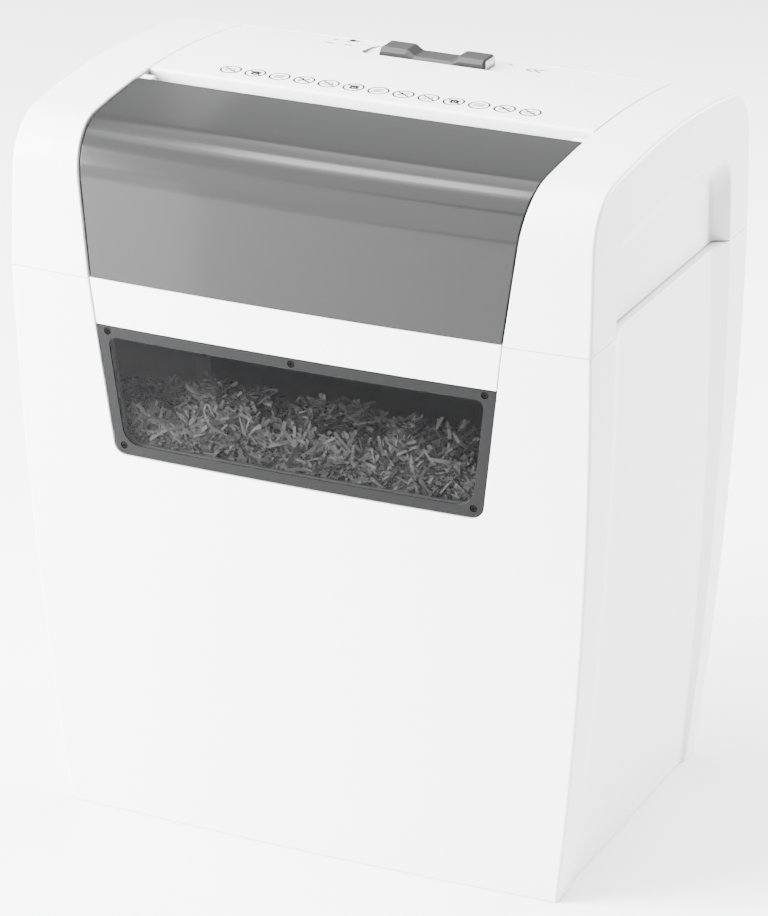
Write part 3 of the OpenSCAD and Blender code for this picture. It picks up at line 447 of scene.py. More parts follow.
def grain(tree, bsdf, scale, bump, rough, spread):
    """Fine noise on the roughness and the relief, in object coordinates."""
    coords = tree.nodes.new("ShaderNodeTexCoord")
    noise = tree.nodes.new("ShaderNodeTexNoise")
    put(noise, {"Scale": scale, "Detail": 3.0})
    ramp = tree.nodes.new("ShaderNodeMapRange")
    put(ramp, {"To Min": max(0.0, rough - spread), "To Max": rough + spread})
    link(tree, coords, "Object", noise, "Vector", noise, "Fac", ramp, "Value")
    link(tree, ramp, "Result", bsdf, "Roughness")
    if bump:
        relief = tree.nodes.new("ShaderNodeBump")
        put(relief, {"Strength": bump, "Distance": 0.0002})
        link(tree, noise, "Fac", relief, "Height", relief, "Normal", bsdf, "Normal")
    return coords


def colour_mix(tree, bsdf, low, high, source, output):
    """The base colour runs from low to high with the source's output."""
    mix = tree.nodes.new("ShaderNodeMix")
    mix.data_type = "RGBA"
    put(mix, {"A": low, "B": high})
    link(tree, source, output, mix, "Factor", mix, "Result", bsdf, "Base Color")


def plastic(name, colour, rough, bump, scale, spread, vary, specular=0.5, metal=0.0):
    """A plain colour with a slow drift of its tone and a fine grain; also used for the metals."""
    mat, tree, bsdf = nodes_of(name)
    put(bsdf, {"Specular IOR Level": specular, "Metallic": metal})
    coords = grain(tree, bsdf, scale, bump, rough, spread)
    drift = tree.nodes.new("ShaderNodeTexNoise")
    put(drift, {"Scale": 9})
    link(tree, coords, "Object", drift, "Vector")
    low, high = ((*(min(1, c * k) for c in colour), 1) for k in (1 - vary, 1 + vary))
    colour_mix(tree, bsdf, low, high, drift, "Fac")
    return mat


# Columns: name, colour, roughness, relief, grain scale, roughness spread, tone drift, specular level
WHITE = plastic("white_plastic", (0.80, 0.805, 0.815), 0.36, 0.08, 1400, 0.03, 0.006, 0.35)
GLOSS = plastic("grey_gloss", (0.0105, 0.0105, 0.0107), 0.15, 0.02, 500, 0.015, 0.03, 0.27)
FRAME = plastic("window_frame", (0.0095, 0.0095, 0.0097), 0.32, 0.03, 700, 0.03, 0.03, 0.08)
SLIDER = plastic("grey_slider", (0.022, 0.022, 0.022), 0.34, 0.12, 1500, 0.05, 0.04, 0.35)
INK = plastic("grey_ink", (0.008, 0.008, 0.009), 0.6, 0.1, 1500, 0.05, 0.05, 0.1)
SCREW = plastic("screw_black", (0.003, 0.003, 0.003), 0.35, 0.1, 1200, 0.06, 0.08, 0.06)
PAPER = plastic("shredded_paper", (0.80, 0.80, 0.79), 0.85, 0.3, 700, 0.05, 0.05, 0.1)
PAPER_GREY = plastic("shredded_paper_grey", (0.50, 0.50, 0.50), 0.85, 0.3, 700, 0.05, 0.15, 0.1)
PAPER_DARK = plastic("shredded_paper_printed", (0.22, 0.22, 0.22), 0.85, 0.3, 700, 0.05, 0.3, 0.1)
# The heap under the loose shreds is coloured dark grey as painted shade, for the dim inside of the bin seen
# between and behind the shreds
PILE = plastic("paper_pile", (0.20, 0.20, 0.20), 0.95, 1.0, 260, 0.05, 0.3, 0.05)
INNER_PLASTICS = (
    ("black_plastic", (0.012, 0.012, 0.013), 0.45, 0.2, 1200, 0.06, 0.08),
    ("pale_plastic", (0.55, 0.55, 0.53), 0.5, 0.15, 900, 0.05, 0.03),
    ("gear_plastic", (0.62, 0.60, 0.52), 0.45, 0.12, 900, 0.06, 0.05),
    ("board_green", (0.015, 0.10, 0.045), 0.35, 0.1, 1800, 0.08, 0.12),
    ("relay_blue", (0.015, 0.06, 0.30), 0.4, 0.1, 1200, 0.05, 0.05),
    ("capacitor_yellow", (0.60, 0.38, 0.03), 0.35, 0.1, 1200, 0.05, 0.05),
    ("lead_red", (0.35, 0.01, 0.01), 0.4, 0.1, 1500, 0.05, 0.08),
    ("rubber_black", (0.013, 0.013, 0.013), 0.75, 0.35, 900, 0.08, 0.1),
    ("switch_red", (0.30, 0.02, 0.015), 0.42, 0.1, 1200, 0.05, 0.06),
    ("plunger_orange", (0.75, 0.17, 0.02), 0.42, 0.1, 1200, 0.05, 0.05),
    ("magnet", (0.03, 0.03, 0.032), 0.7, 0.3, 700, 0.08, 0.1),
)
METALS = (
    ("steel", (0.52, 0.52, 0.53), 0.28, 0.12, 600, 0.08, 0.05),
    ("dark_steel", (0.20, 0.20, 0.21), 0.34, 0.15, 600, 0.10, 0.10),
    ("bronze", (0.50, 0.30, 0.12), 0.34, 0.12, 700, 0.08, 0.08),
)


def smoked_pane():
    """Smoked clear plastic: a dark tint that lets part of the light through, under a clear gloss."""
    mat, tree, bsdf = nodes_of("smoked_window")
    put(bsdf, {"Base Color": (0.0008, 0.0008, 0.0009, 1), "Specular IOR Level": 0.06, "Alpha": 0.82})
    grain(tree, bsdf, 500, 0.0, 0.05, 0.015)
    return mat


PANE = smoked_pane()

SLOTS = {"white_plastic": WHITE, "grey_gloss": GLOSS, "smoked_window": FRAME, "grey_slider": SLIDER}
SLOTS.update({row[0]: plastic(*row) for row in INNER_PLASTICS})
SLOTS.update({row[0]: plastic(*row, metal=1.0) for row in METALS})
node_slot = {s["node"]: s["material_slot"] for s in frame["record"]["subparts"]}

# ---- bin

BOTTOM_ROUND = 1.2
TOP_ROUND = 0.5
CORNER_ROUND = 1.6
CHANNEL_ROUNDS = (16, 16, 5, 5)
FRONT_COLS = 24
# The part of the front face round the window's pocket is filled by a region, the rest by a grid
REGION_MARGIN = 9
REGION_LOW = WINDOW_LOW - REGION_MARGIN
REGION_SPACING = 14
POCKET_ROUND = 0.5
POCKET_CORNER = 7.4
SEAT_DROP = 4.5
SEAT_BACK = 6.4
MOUTH_CORNER = 4
PANE_CORNERS = (10, 10, 4, 4)
# Steps of the rim's inner edge: drop below the seam, shift into the wall
MOUTH_EDGE = ((0, 0), (0.15, 0.35), (0.5, 0.5), (3.0, 0.5))


def region_half(z):
    return strip_half(z) + REGION_MARGIN


def top_inset(z):
    over = max(0.0, z - (SEAM - TOP_ROUND))
    return TOP_ROUND - math.sqrt(max(0.0, TOP_ROUND**2 - over**2))


def front_point(x, z, depth=0.0):
    z = min(z, SEAM)
    return (x, bin_front(z) * bulge(x) + top_inset(z) + depth, z)


def bin_side(z, inset):
    """Right side of the bin in plan, from the front corner to the rear one, with its shallow channel."""
    t = z / SEAM
    hw = half_width(z) - inset
    floor = hw - (2 + 2 * t)
    yf = bin_front(z) * bulge(hw) + inset
    yr = bin_rear(z) * bulge(hw) - inset
    a = np.array([region_half(z), bin_front(z) * bulge(region_half(z)) + inset])
    b = np.array([hw * 0.8, bin_rear(z) * bulge(hw * 0.8) - inset])
    front_in, rear_in = -70 + 12 * t, 80 - 18 * t
    front_out, rear_out = front_in - (5 + 10 * t), rear_in + (4 + 13 * t)
    line = [a, (hw, yf), (hw, front_out), (floor, front_in), (floor, rear_in), (hw, rear_out), (hw, yr), b]
    r = max(0.3, CORNER_ROUND - inset)
    return fillet(line, [0, r, *CHANNEL_ROUNDS, r, 0], 5)[1:-1]


def bin_ring(z, inset):
    w = region_half(z)
    xs = np.linspace(-w, w, FRONT_COLS + 1)
    front = np.column_stack([xs, bin_front(z) * bulge(xs) + inset])
    right = bin_side(z, inset)
    hw = half_width(z) - inset
    xr = np.linspace(hw * 0.9, -hw * 0.9, 19)
    rear = np.column_stack([xr, bin_rear(z) * bulge(xr) - inset])
    ring = np.vstack([front, right, rear, right[::-1] * [-1, 1]])
    return np.column_stack([ring, np.full(len(ring), z)])


def pane_loop(grow=0.0):
    """Edge of the clear pane in the front view, counter-clockwise, with round corners."""
    low, high = WINDOW_LOW + FLANGE - grow, WINDOW_HIGH - FLANGE + grow
    wl, wh = strip_half(low) - FLANGE + grow, strip_half(high) - FLANGE + grow
    corners = [(-wl, low), (wl, low), (wh, high), (-wh, high)]
    line = fillet(corners, [r + grow for r in PANE_CORNERS], 8, loop=True)
    return subdivide(closed(line), 9)[:-1]


def pocket_line(low, margin, corner, high):
    """Open outline of the strip from its upper right end round the lower corners to its upper left end."""
    wl, wh = strip_half(low) + margin, strip_half(high) + margin
    line = fillet([(wh, high), (wl, low), (-wl, low), (-wh, high)], [0, corner, corner, 0], 8)
    return subdivide(line, 9)


def make_bin():
    shape = Shape()
    quarter = np.linspace(0, math.pi / 2, 5)
    low_rows = [(BOTTOM_ROUND * (1 - math.cos(f)), BOTTOM_ROUND * (1 - math.sin(f))) for f in quarter]
    top_rows = [(SEAM - TOP_ROUND * (1 - math.sin(f)), TOP_ROUND * (1 - math.cos(f))) for f in quarter]
    mid_low = [(z, 0.0) for z in np.linspace(BOTTOM_ROUND, REGION_LOW, 20)[1:]]
    mid_high = [(z, 0.0) for z in np.linspace(REGION_LOW, SEAM - TOP_ROUND, 12)[1:-1]]
    rows = low_rows + mid_low + mid_high + top_rows
    start = len(low_rows) + len(mid_low) - 1
    rings = [bin_ring(z, i) for z, i in rows]
    shape.grid(rings, wrap=True, skip=lambda i, j: i >= start and j < FRONT_COLS)

    # Front face round the pocket
    pocket = pocket_line(WINDOW_LOW - JOINT, JOINT, POCKET_CORNER, SEAM)
    ends = np.array([(strip_half(z) + JOINT, z) for z, _ in top_rows[::-1]])
    pocket = np.vstack([ends, pocket[1:-1], ends[::-1] * [-1, 1]])
    away = outward(pocket)
    away = away if away[len(away) // 2][1] < 0 else -away
    offset = pocket + away * POCKET_ROUND
    offset[0][1] = offset[-1][1] = SEAM
    ring = rings[start]
    bottom = ring[: FRONT_COLS + 1][:, [0, 2]]
    right = np.array([[region_half(z), z] for z, _ in rows[start + 1 :]])
    loop = np.vstack([bottom, right, offset, (right * [-1, 1])[::-1]])
    shape.region([loop], front_point, REGION_SPACING)
    steps = edge_steps(POCKET_ROUND, POCKET_DEPTH - POCKET_ROUND)
    shape.grid([[front_point(x, z, d) for x, z in pocket + away * o] for o, d in steps])
    seat = pocket_line(WINDOW_LOW - JOINT, JOINT, POCKET_CORNER, SEAM - SEAT_DROP)
    hole = pane_loop(JOINT)
    shape.region([seat, hole], lambda x, z: front_point(x, z, POCKET_DEPTH), REGION_SPACING)
    shape.grid([[front_point(x, z, d) for x, z in closed(hole)] for d in (POCKET_DEPTH, SEAT_BACK)])

    # Rim with the mouth
    top = rings[-1]
    edge_x = float(offset[0][0])
    outer = np.vstack([top[FRONT_COLS:][:, :2], top[:1][:, :2]])
    cut = POCKET_ROUND
    mouth = fillet(
        [
            (-edge_x, -MOUTH_Y + cut), (-MOUTH_X, -MOUTH_Y), (-MOUTH_X, MOUTH_Y),
            (MOUTH_X, MOUTH_Y), (MOUTH_X, -MOUTH_Y), (edge_x, -MOUTH_Y + cut),
        ],
        [0] + [MOUTH_CORNER] * 4 + [0],
    )
    mouth[0][1] = mouth[-1][1] = -MOUTH_Y
    face_y = front_point(edge_x, SEAM)[1]
    inner = np.vstack([[(-edge_x, face_y)], mouth, [(edge_x, face_y)]])
    loop = np.vstack([outer, inner])
    shape.region([loop], lambda x, y: (x, y, SEAM))
    inner = subdivide(inner, 12)
    side = outward(inner)
    mid = len(inner) // 2
    if inner[mid] @ side[mid] > 0:
        side = -side
    shape.grid([[(x, y, SEAM - drop) for x, y in inner + side * shift] for drop, shift in MOUTH_EDGE])

    # Floor
    shape.region([rings[0][:, :2]], lambda x, y: (x, y, 0.0))
    obj = shape.build("bin_body", "bin", [WHITE], thick=2.4)
    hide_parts("bin_shell")


make_bin()

# ---- window

WINDOW_BACK = 0.6
WINDOW_MIDDLE = (0, 240.0)
FLANGE_CORNERS = (6.6, 6.6, 0.6, 0.6)
FLANGE_ROUND = 0.5
PANE_STEP = 0.3
SCREW_HOLE = 1.9
SCREW_HOLE_DEPTH = 2.0
# Profile of a screw head: radius, depth below its face
SCREW_PROFILE = ((1.62, 1.2), (1.62, 0.25), (1.54, 0.07), (1.35, 0), (0.8, 0), (0.72, 0.5), (0.01, 0.5))


def make_window():
    frame_shape = Shape()
    low, high = WINDOW_LOW, WINDOW_HIGH
    wl, wh = strip_half(low), strip_half(high)
    outer = fillet([(-wl, low), (wl, low), (wh, high), (-wh, high)], FLANGE_CORNERS, 8, loop=True)
    outer = subdivide(closed(outer), 9)[:-1]
    away = away_from(WINDOW_MIDDLE, outer)
    pane = pane_loop()
    back = away_from(WINDOW_MIDDLE, pane)
    circles = [np.array(circle(x, z, SCREW_HOLE, 24)) for x, z in screw_places()]

    def loops(line, levels):
        frame_shape.grid([
            [front_point(x, z, WINDOW_BACK + d) for x, z in closed(line + shift)] for shift, d in levels
        ])

    edges = [outer - away * FLANGE_ROUND, pane + back * PANE_STEP]
    frame_shape.region(edges + circles, lambda x, z: front_point(x, z, WINDOW_BACK), 8)
    loops(outer, [(-away * o, d) for o, d in edge_steps(FLANGE_ROUND, 2.4)])
    loops(pane, [(back * o, d) for o, d in edge_steps(PANE_STEP, PANE_STEP)])
    for c in circles:
        loops(c, [(0, d) for d in (0, 0.12, SCREW_HOLE_DEPTH)])
        frame_shape.region([c], lambda x, z: front_point(x, z, WINDOW_BACK + SCREW_HOLE_DEPTH))
    obj = frame_shape.build("window_frame", "bin", [FRAME])
    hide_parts("window")
    glass = Shape()
    glass.region([pane_loop(-0.02)], lambda x, z: front_point(x, z, WINDOW_BACK + PANE_STEP), 14)
    obj = glass.build("window_pane", "bin", [PANE])


def screw_places():
    up, down = WINDOW_HIGH - 2.7, WINDOW_LOW + 5
    return [
        (-strip_half(up) + 5.9, up), (0.0, up), (strip_half(up) - 5.9, up),
        (-strip_half(down) + 5.1, down), (strip_half(down) - 5.1, down),
    ]


def make_screws():
    shape = Shape()
    for x0, z0 in screw_places():
        base = np.array(front_point(x0, z0, WINDOW_BACK + 0.35))
        turn = np.linspace(0, FULL_TURN, 25)
        shape.grid([
            [base + (r * math.cos(a), d, r * math.sin(a)) for a in turn] for r, d in SCREW_PROFILE
        ])
    obj = shape.build("window_screw_heads", "bin", [SCREW])
    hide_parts("window_screws")


make_window()
make_screws()

# ---- cheeks

CHEEK_EDGE = 1.6
INNER_EDGE = 0.6
SEAM_EDGE = 0.25
TONGUE = 1.5
SEAM_FOOT = HEAD_BOTTOM + SEAM_EDGE
# Hand recess: floor, mouth rounding, and where the slanted wall starts and ends as shares of its depth
RECESS_X = HALF_WIDTH - 8.3
RECESS_ROUND = 1.6
RECESS_FILLET = 2.0
WALL_START, WALL_END = 0.16, 0.84


def recess_line(k):
    """Edge of the hand recess in the side view at a share k of its depth, from front to rear."""
    front, rear = -72.5 + 4.5 * k, 78 - 4.5 * k
    top = SEAM + 50.5 - 11 * k
    fr, rr = 12 - 3 * k, 17 - 4 * k
    pts = [(front, SEAM_FOOT)]
    pts += [tuple(q) for q in arc(front + fr, top - 3.4 - fr, fr, 180, 94, 10)]
    a, b = np.array(pts[-1]), np.array((rear - rr, top - 3.0))
    for t in np.linspace(0, 1, 16)[1:-1]:
        y = a[0] + (b[0] - a[0]) * t
        lift = 4 * t * (1 - t) * 3.3
        pts.append((y, a[1] + (b[1] - a[1]) * t + lift))
    pts += [tuple(q) for q in arc(rear - rr, top - 3.0 - rr, rr, 84, 0, 10)]
    pts.append((rear, SEAM_FOOT))
    head, tail = pts[0], pts[-1]
    line = [head] + [(head[0], head[1] + (pts[1][1] - head[1]) * t) for t in (0.33, 0.66)] + pts[1:-1]
    line += [(tail[0], tail[1] + (pts[-2][1] - tail[1]) * t) for t in (0.66, 0.33)] + [tail]
    return np.array(line)


def make_cheek(mirror):
    shape = Shape()
    base = head_profile(0, HEAD_BOTTOM)
    foot_steps = tongue_steps(SEAM_EDGE, TONGUE)
    rows = rows_along(base, foot_steps, foot_steps, lengths(base)[1:-1])
    grid = []
    for y, z, ny, nz, dv in rows:
        xin = strip_half(z) + JOINT
        xout = half_width(z - nz * CHEEK_EDGE)
        line = [(xin + o, du) for o, du in edge_steps(INNER_EDGE, 3.0)[:-1]]
        line += [(x, 0) for x in np.linspace(xin + INNER_EDGE, xout - CHEEK_EDGE, 7)[:-1]]
        row = [(x, (y - ny * max(du, dv)) * bulge(x), z - nz * max(du, dv)) for x, du in line]
        for f in np.linspace(0, math.pi / 2, 7):
            r = CHEEK_EDGE - dv
            x = xout - CHEEK_EDGE + r * math.sin(f)
            d = CHEEK_EDGE - r * math.cos(f)
            row.append((x, (y - ny * d) * bulge(x), z - nz * d))
        grid.append(row)
    shape.grid(grid)
    rim = np.array([row[-1] for row, r in zip(grid, rows) if r[4] == 0])[:, 1:]
    outline = recess_line(0)
    away = outward(outline)
    mid = len(outline) // 2
    away = away if away[mid][1] > 0 else -away
    away[0] = (-1, 0)
    away[-1] = (1, 0)
    edge = outline + away * RECESS_ROUND
    edge[0][1] = edge[-1][1] = rim[0][1] = rim[-1][1] = SEAM_FOOT
    share = np.linspace(0, 1, 6)[1:-1, None]
    rear_foot = rim[-1] + (edge[-1] - rim[-1]) * share
    front_foot = edge[0] + (rim[0] - edge[0]) * share
    loop = np.vstack([rim, rear_foot, edge[::-1], front_foot])
    shape.region([loop], lambda y, z: (half_width(z), y, z), 12)
    levels = [(HEAD_BOTTOM + o, d) for o, d in foot_steps]
    for a, b in ((rim[0], edge[0]), (edge[-1], rim[-1])):
        ys = np.linspace(a[0], b[0], 6)
        shape.grid([[(half_width(z) - d, y, z) for y in ys] for z, d in levels])

    # Recess walls: rounded at the face, slanted, and filleted into the floor
    inner_line = recess_line(1)
    into = outward(inner_line)
    into = into if into[mid][1] < 0 else -into
    into[0] = (1, 0)
    into[-1] = (-1, 0)

    def level(k):
        x = (1 - k) * half_width(outline[:, 1]) + k * RECESS_X
        return np.column_stack([x, recess_line(k)])

    def curve(a, c, b):
        return [(1 - t) ** 2 * a + 2 * t * (1 - t) * c + t * t * b for t in np.linspace(0, 1, 6)]

    face = np.column_stack([half_width(edge[:, 1]), edge])
    floor_line = inner_line + into * RECESS_FILLET
    floor_line[0][1] = floor_line[-1][1] = SEAM_FOOT
    floor_edge = np.column_stack([np.full(len(floor_line), RECESS_X), floor_line])
    wall = curve(face, level(0), level(WALL_START))
    wall += [level(k) for k in np.linspace(WALL_START, WALL_END, 5)[1:-1]]
    shape.grid(wall + curve(level(WALL_END), level(1), floor_edge))
    ys = np.linspace(floor_line[0][0], floor_line[-1][0], 12)
    foot = np.column_stack([ys[-2:0:-1], np.full(10, floor_line[0][1])])
    shape.region([np.vstack([floor_line, foot])], lambda y, z: (RECESS_X, y, z), 14)
    shape.grid([[(RECESS_X - d, y, HEAD_BOTTOM + o) for y in ys] for o, d in edge_steps(SEAM_EDGE, 2.0)])

    side = "left" if mirror else "right"
    obj = shape.build(side + "_cheek_shell", "head", [WHITE], thick=1.8, mirror=mirror, centre=(0, 0, 300))
    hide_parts(side + "_cheek")


make_cheek(False)
make_cheek(True)

# ---- covers of the centre strip


# Roundings of the covers' edges: radius, turned-in flange
COVER_SIDE = (0.4, 2.4)
COVER_END = (0.35, 2.2)
LIP_STEPS = (1.6, 7.6, 6)


def cover_half(z):
    """Half width of a white cover between the cheeks."""
    return strip_half(z) - JOINT


def column_x(share, z):
    """Where a cover's column lies: its share of the half width inside the rounded side."""
    return share * (cover_half(z) - COVER_SIDE[0])


def make_front_panel():
    shape = Shape()
    low = SEAM + 0.9
    base = head_profile(1.0, low)
    stop = np.argmax(base[:, 0] > PANEL_EDGE_Y)
    t = (PANEL_EDGE_Y - base[stop - 1][0]) / (base[stop][0] - base[stop - 1][0])
    base = np.vstack([base[:stop], base[stop - 1] + (base[stop] - base[stop - 1]) * t])
    fine = at_lengths(base, np.linspace(0, lengths(base)[-1], 160))
    fine = smooth_line(fine, 5)
    rows = rows_along(fine, edge_steps(*COVER_END), edge_steps(0.5, 3.0), lengths(fine)[1:-1])
    sheet(shape, rows, lambda z: strip_half(z) - 0.8, np.linspace(-1, 1, 41), edge_steps(0.35, 2.5))
    obj = shape.build("front_panel_shell", "head", [GLOSS], thick=1.6, centre=(0, 0, 300))
    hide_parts("front_panel")


def smooth_line(p, rounds):
    """Evens out the curvature where an arc meets a line, ends kept."""
    p = p.copy()
    for _ in range(rounds):
        p[1:-1] = (p[:-2] + 2 * p[1:-1] + p[2:]) / 4
    return p


def make_skirt():
    shape = Shape()
    low, high = WINDOW_HIGH + 0.5, SEAM + 0.8
    line = np.array([(bin_front(z) + JOINT, z) for z in (low, (low + high) / 2, high)])
    steps = edge_steps(0.3, 2.0)
    rows = rows_along(line, steps, steps, np.linspace(2, high - low - 2, 5))
    sheet(shape, rows, cover_half, np.linspace(-1, 1, 25), edge_steps(0.4, 2.6))
    obj = shape.build("front_skirt_shell", "head", [WHITE], thick=1.6, centre=(0, 0, 280))
    shelf = Shape()
    z0 = SEAM - 4
    add_box(shelf, (-100, -105.0, z0), (100, -96.4, z0 + 2))
    for x in (-80, -30, 30, 80):
        add_box(shelf, (x - 4, -103.2, z0 + 2), (x + 4, -96.4, SEAM + 0.4))
    piece = shelf.build("skirt_shelf", "head", [WHITE], centre=(0, -100, 298))
    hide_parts("front_skirt")


def add_box(shape, low, high):
    x0, y0, z0 = low
    x1, y1, z1 = high
    s = shape.add([(x, y, z) for z in (z0, z1) for x, y in ((x0, y0), (x1, y0), (x1, y1), (x0, y1))])
    for f in ((0, 3, 2, 1), (4, 5, 6, 7), (0, 1, 5, 4), (1, 2, 6, 5), (2, 3, 7, 6), (3, 0, 4, 7)):
        shape.faces.append(tuple(s + q for q in f))
        shape.slots.append(0)


DISH_HALF = 39.2
DISH_Y = (54.5, 77.5)
DISH_CORNERS = (5, 5, 9, 9)
# Rows of the cover between which the face round the dish is filled, and its half width
DISH_FIELD = (51.0, 80.5)
DISH_FIELD_HALF = 50
DISH_FLOOR = crown(SLIDER_Y) - 1.6
GRIP_BASE = crown(SLIDER_Y) - 0.85
GRIP_REAR = 71.0


def make_top_cover():
    shape = Shape()
    ys = [LIP_Y, -15, -9, -3, *np.linspace(3, 47, 7)]
    ys += [DISH_FIELD[0], 56, 61, 66, 71, 76, DISH_FIELD[1], COVER_REAR_Y]
    line = np.array([(y, crown(y)) for y in ys])
    rows = rows_along(line, edge_steps(*LIP_STEPS), edge_steps(*COVER_END), lengths(line)[1:-1])
    i0, i1 = (min(range(len(rows)), key=lambda i: abs(rows[i][0] - y)) for y in DISH_FIELD)
    cols = np.linspace(-1, 1, 25)
    side = edge_steps(*COVER_SIDE)
    lead = len(side) - 1
    across = column_x(cols, crown(SLIDER_Y))
    j0, j1 = (lead + int(np.argmin(np.abs(across - x))) for x in (-DISH_FIELD_HALF, DISH_FIELD_HALF))
    sheet(shape, rows, cover_half, cols, side, skip=lambda i, j: i0 <= i < i1 and j0 <= j < j1)
    loop = hole_outline((i0, i1), (j0, j1), lambda i, j: (column_x(cols[j - lead], rows[i][1]), rows[i][0]))
    dish = fillet(
        [(-DISH_HALF, DISH_Y[0]), (DISH_HALF, DISH_Y[0]), (DISH_HALF, DISH_Y[1]), (-DISH_HALF, DISH_Y[1])],
        DISH_CORNERS, 8, loop=True,
    )
    dish = subdivide(closed(dish), 6)[:-1]
    away = away_from((0, SLIDER_Y), dish)

    def top(x, y, drop=0.0):
        return x, y * bulge(x), crown(y) - drop

    shape.region([loop, dish + away * 0.3], top, 9)
    # The dish's wall takes the slider's grey (slot 1), darker than the white cover round it
    wall = []
    for o, drop in edge_steps(0.3, 0.2)[1:][::-1]:
        wall.append([top(x, y, drop) for x, y in closed(dish + away * o)])
    wall.append([(x, y * bulge(x), DISH_FLOOR) for x, y in closed(dish)])
    shape.grid(wall, slot=1)
    slot = [(x, SLIDER_Y + y) for x, y in ((-14, -2.6), (14, -2.6), (14, 2.6), (-14, 2.6))]
    shape.region([dish, slot], lambda x, y: (x, y * bulge(x), DISH_FLOOR), 12)
    obj = shape.build("top_cover_shell", "head", [WHITE, SLIDER], thick=1.4, centre=(0, 20, 300))
    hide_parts("top_cover")

    # End tabs beside the paper slot
    for s, name in ((1, "right"), (-1, "left")):
        tab = Shape()
        line = np.array([(y, crown(y) - TAB_DROP) for y in np.linspace(PANEL_EDGE_Y + 0.4, TAB_REAR_Y, 4)])
        rows = rows_along(line, edge_steps(0.5, 2.5), edge_steps(1.2, 2.5), [2, 3, 4])
        grid = []
        for y, z, ny, nz, dv in rows:
            xa, xb = TAB_X, strip_half(z) - JOINT
            cells = [(xa + o, du) for o, du in edge_steps(0.5, 8.0)]
            cells += [(xa + 0.5 + (xb - xa - 0.8) * t, 0) for t in (0.33, 0.66)]
            cells += [(xb - o, du) for o, du in edge_steps(0.3, 2.0)[::-1]]
            grid.append([(s * x, (y - ny * max(du, dv)) * bulge(x), z - nz * max(du, dv)) for x, du in cells])
        tab.grid(grid)
        piece = tab.build(name + "_end_tab", "head", [WHITE], thick=1.2, centre=(s * 116, -26, 370))


GLAND_LOW, GLAND_HIGH = box_mm("cord_gland")
GLAND_PLACE = (float(GLAND_LOW[0] + GLAND_HIGH[0]) / 2, float(GLAND_LOW[2] + GLAND_HIGH[2]) / 2)
GLAND_HOLE = 12.4
# The field round the gland's hole: above, below and beside its centre
GLAND_FIELD = (15, 12, 14)


def make_rear_cover():
    shape = Shape()
    base = head_profile(0, HEAD_BOTTOM)
    first = COVER_REAR_Y + JOINT
    k = np.argmax(base[:, 0] > first)
    t = (first - base[k - 1][0]) / (base[k][0] - base[k - 1][0])
    base = np.vstack([base[k - 1] + (base[k] - base[k - 1]) * t, base[k:]])
    rows = rows_along(base, edge_steps(*COVER_END), tongue_steps(SEAM_EDGE, TONGUE), lengths(base)[1:-1])
    cols, side = np.linspace(-1, 1, 25), edge_steps(*COVER_SIDE)
    gland_x, gland_z = GLAND_PLACE
    above, below, beside = GLAND_FIELD
    lead = len(side) - 1
    upright = [i for i, r in enumerate(rows) if r[0] > HALF_DEPTH - 0.01 and r[4] == 0]
    i0, i1 = (min(upright, key=lambda i: abs(rows[i][1] - z)) for z in (gland_z + above, gland_z - below))
    across = column_x(cols, gland_z)
    j0, j1 = (lead + int(np.argmin(np.abs(across - x))) for x in (gland_x - beside, gland_x + beside))
    sheet(shape, rows, cover_half, cols, side, skip=lambda i, j: i0 <= i < i1 and j0 <= j < j1)
    loop = hole_outline((i0, i1), (j0, j1), lambda i, j: (column_x(cols[j - lead], rows[i][1]), rows[i][1]))
    hole = np.array(circle(gland_x, gland_z, GLAND_HOLE / 2))
    shape.region([loop, hole], lambda x, z: (x, HALF_DEPTH * bulge(x), z), 6)
    obj = shape.build("rear_cover_shell", "head", [WHITE], thick=1.8, centre=(0, 0, 300))
    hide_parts("rear_cover")


make_front_panel()
make_skirt()
make_top_cover()
make_rear_cover()

# ---- slider

SLIDER_LOW, SLIDER_HIGH = box_mm("slider_knob")
SADDLE_HEIGHT = 2.3


def make_slider():
    """A grip with two raised ends and a saddle between, built of sections from left to right."""
    shape = Shape()
    base = GRIP_BASE
    half, front = (SLIDER_HIGH[0] - SLIDER_LOW[0]) / 2, float(SLIDER_LOW[1])
    tall = SLIDER_HIGH[2] - base
    knots = [(-half + 1.8, tall), (-half + 15.5, tall), (-half + 20.0, SADDLE_HEIGHT)]
    knots += [(-x, h) for x, h in knots[::-1]]
    path = fillet(knots, [0, 1.6, 2.2, 2.2, 1.6, 0], 4)
    stations = [(-half, 0.9, 1.2), (-half + 0.15, 1.6, 0.7)]
    stations += [(-half + 0.7, tall - 0.9, 0.35), (-half + 1.8, tall, 0)]
    stations += [(x, h, 0) for x, h in path[1:-1]]
    stations += [(-x, h, i) for x, h, i in stations[3::-1]]
    grid = []
    for x, h, inset in stations:
        chamfer = min(2.0, h * 0.6)
        ya, yb = front + inset, GRIP_REAR - inset
        line = [(ya, 0), (ya, h - chamfer), (ya + chamfer, h), (yb - 0.8, h), (yb, h - 0.8), (yb, 0)]
        ring = fillet(line, [0, 0.4, 0.4, 0.4, 0.4, 0], 3)
        grid.append([(x, y, base + z) for y, z in ring])
    shape.grid(grid)
    for end in (grid[0], grid[-1]):
        shape.region([[p[1:] for p in end]], lambda y, z, x=end[0][0]: (x, y, z))
    under = [g[0][:2] for g in grid] + [g[-1][:2] for g in grid[::-1]]
    shape.region([under], lambda x, y: (x, y, base))
    add_box(shape, (-3, SLIDER_Y - 2, DISH_FLOOR - 6), (3, SLIDER_Y + 2, base))
    obj = shape.build("slider_grip", "slider", [SLIDER], sharp=30, centre=(0, SLIDER_Y, base + 1))
    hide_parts("slider_knob")


make_slider()

# ---- printed marks on the top cover

INK_LIFT = 0.035
PRINT_WEIGHT = 1.3
RING_COUNT = 13
RING_X = 82.2
RING_Y = -6.3
RING_RADIUS = 5.5
BAR_SLOPE = math.radians(145)
BENT_STROKES = ([(-2.4, -2.2), (-0.4, 0.4), (-2.0, 2.4)], [(2.6, -1.8), (0.2, -0.2), (2.2, 2.2)])
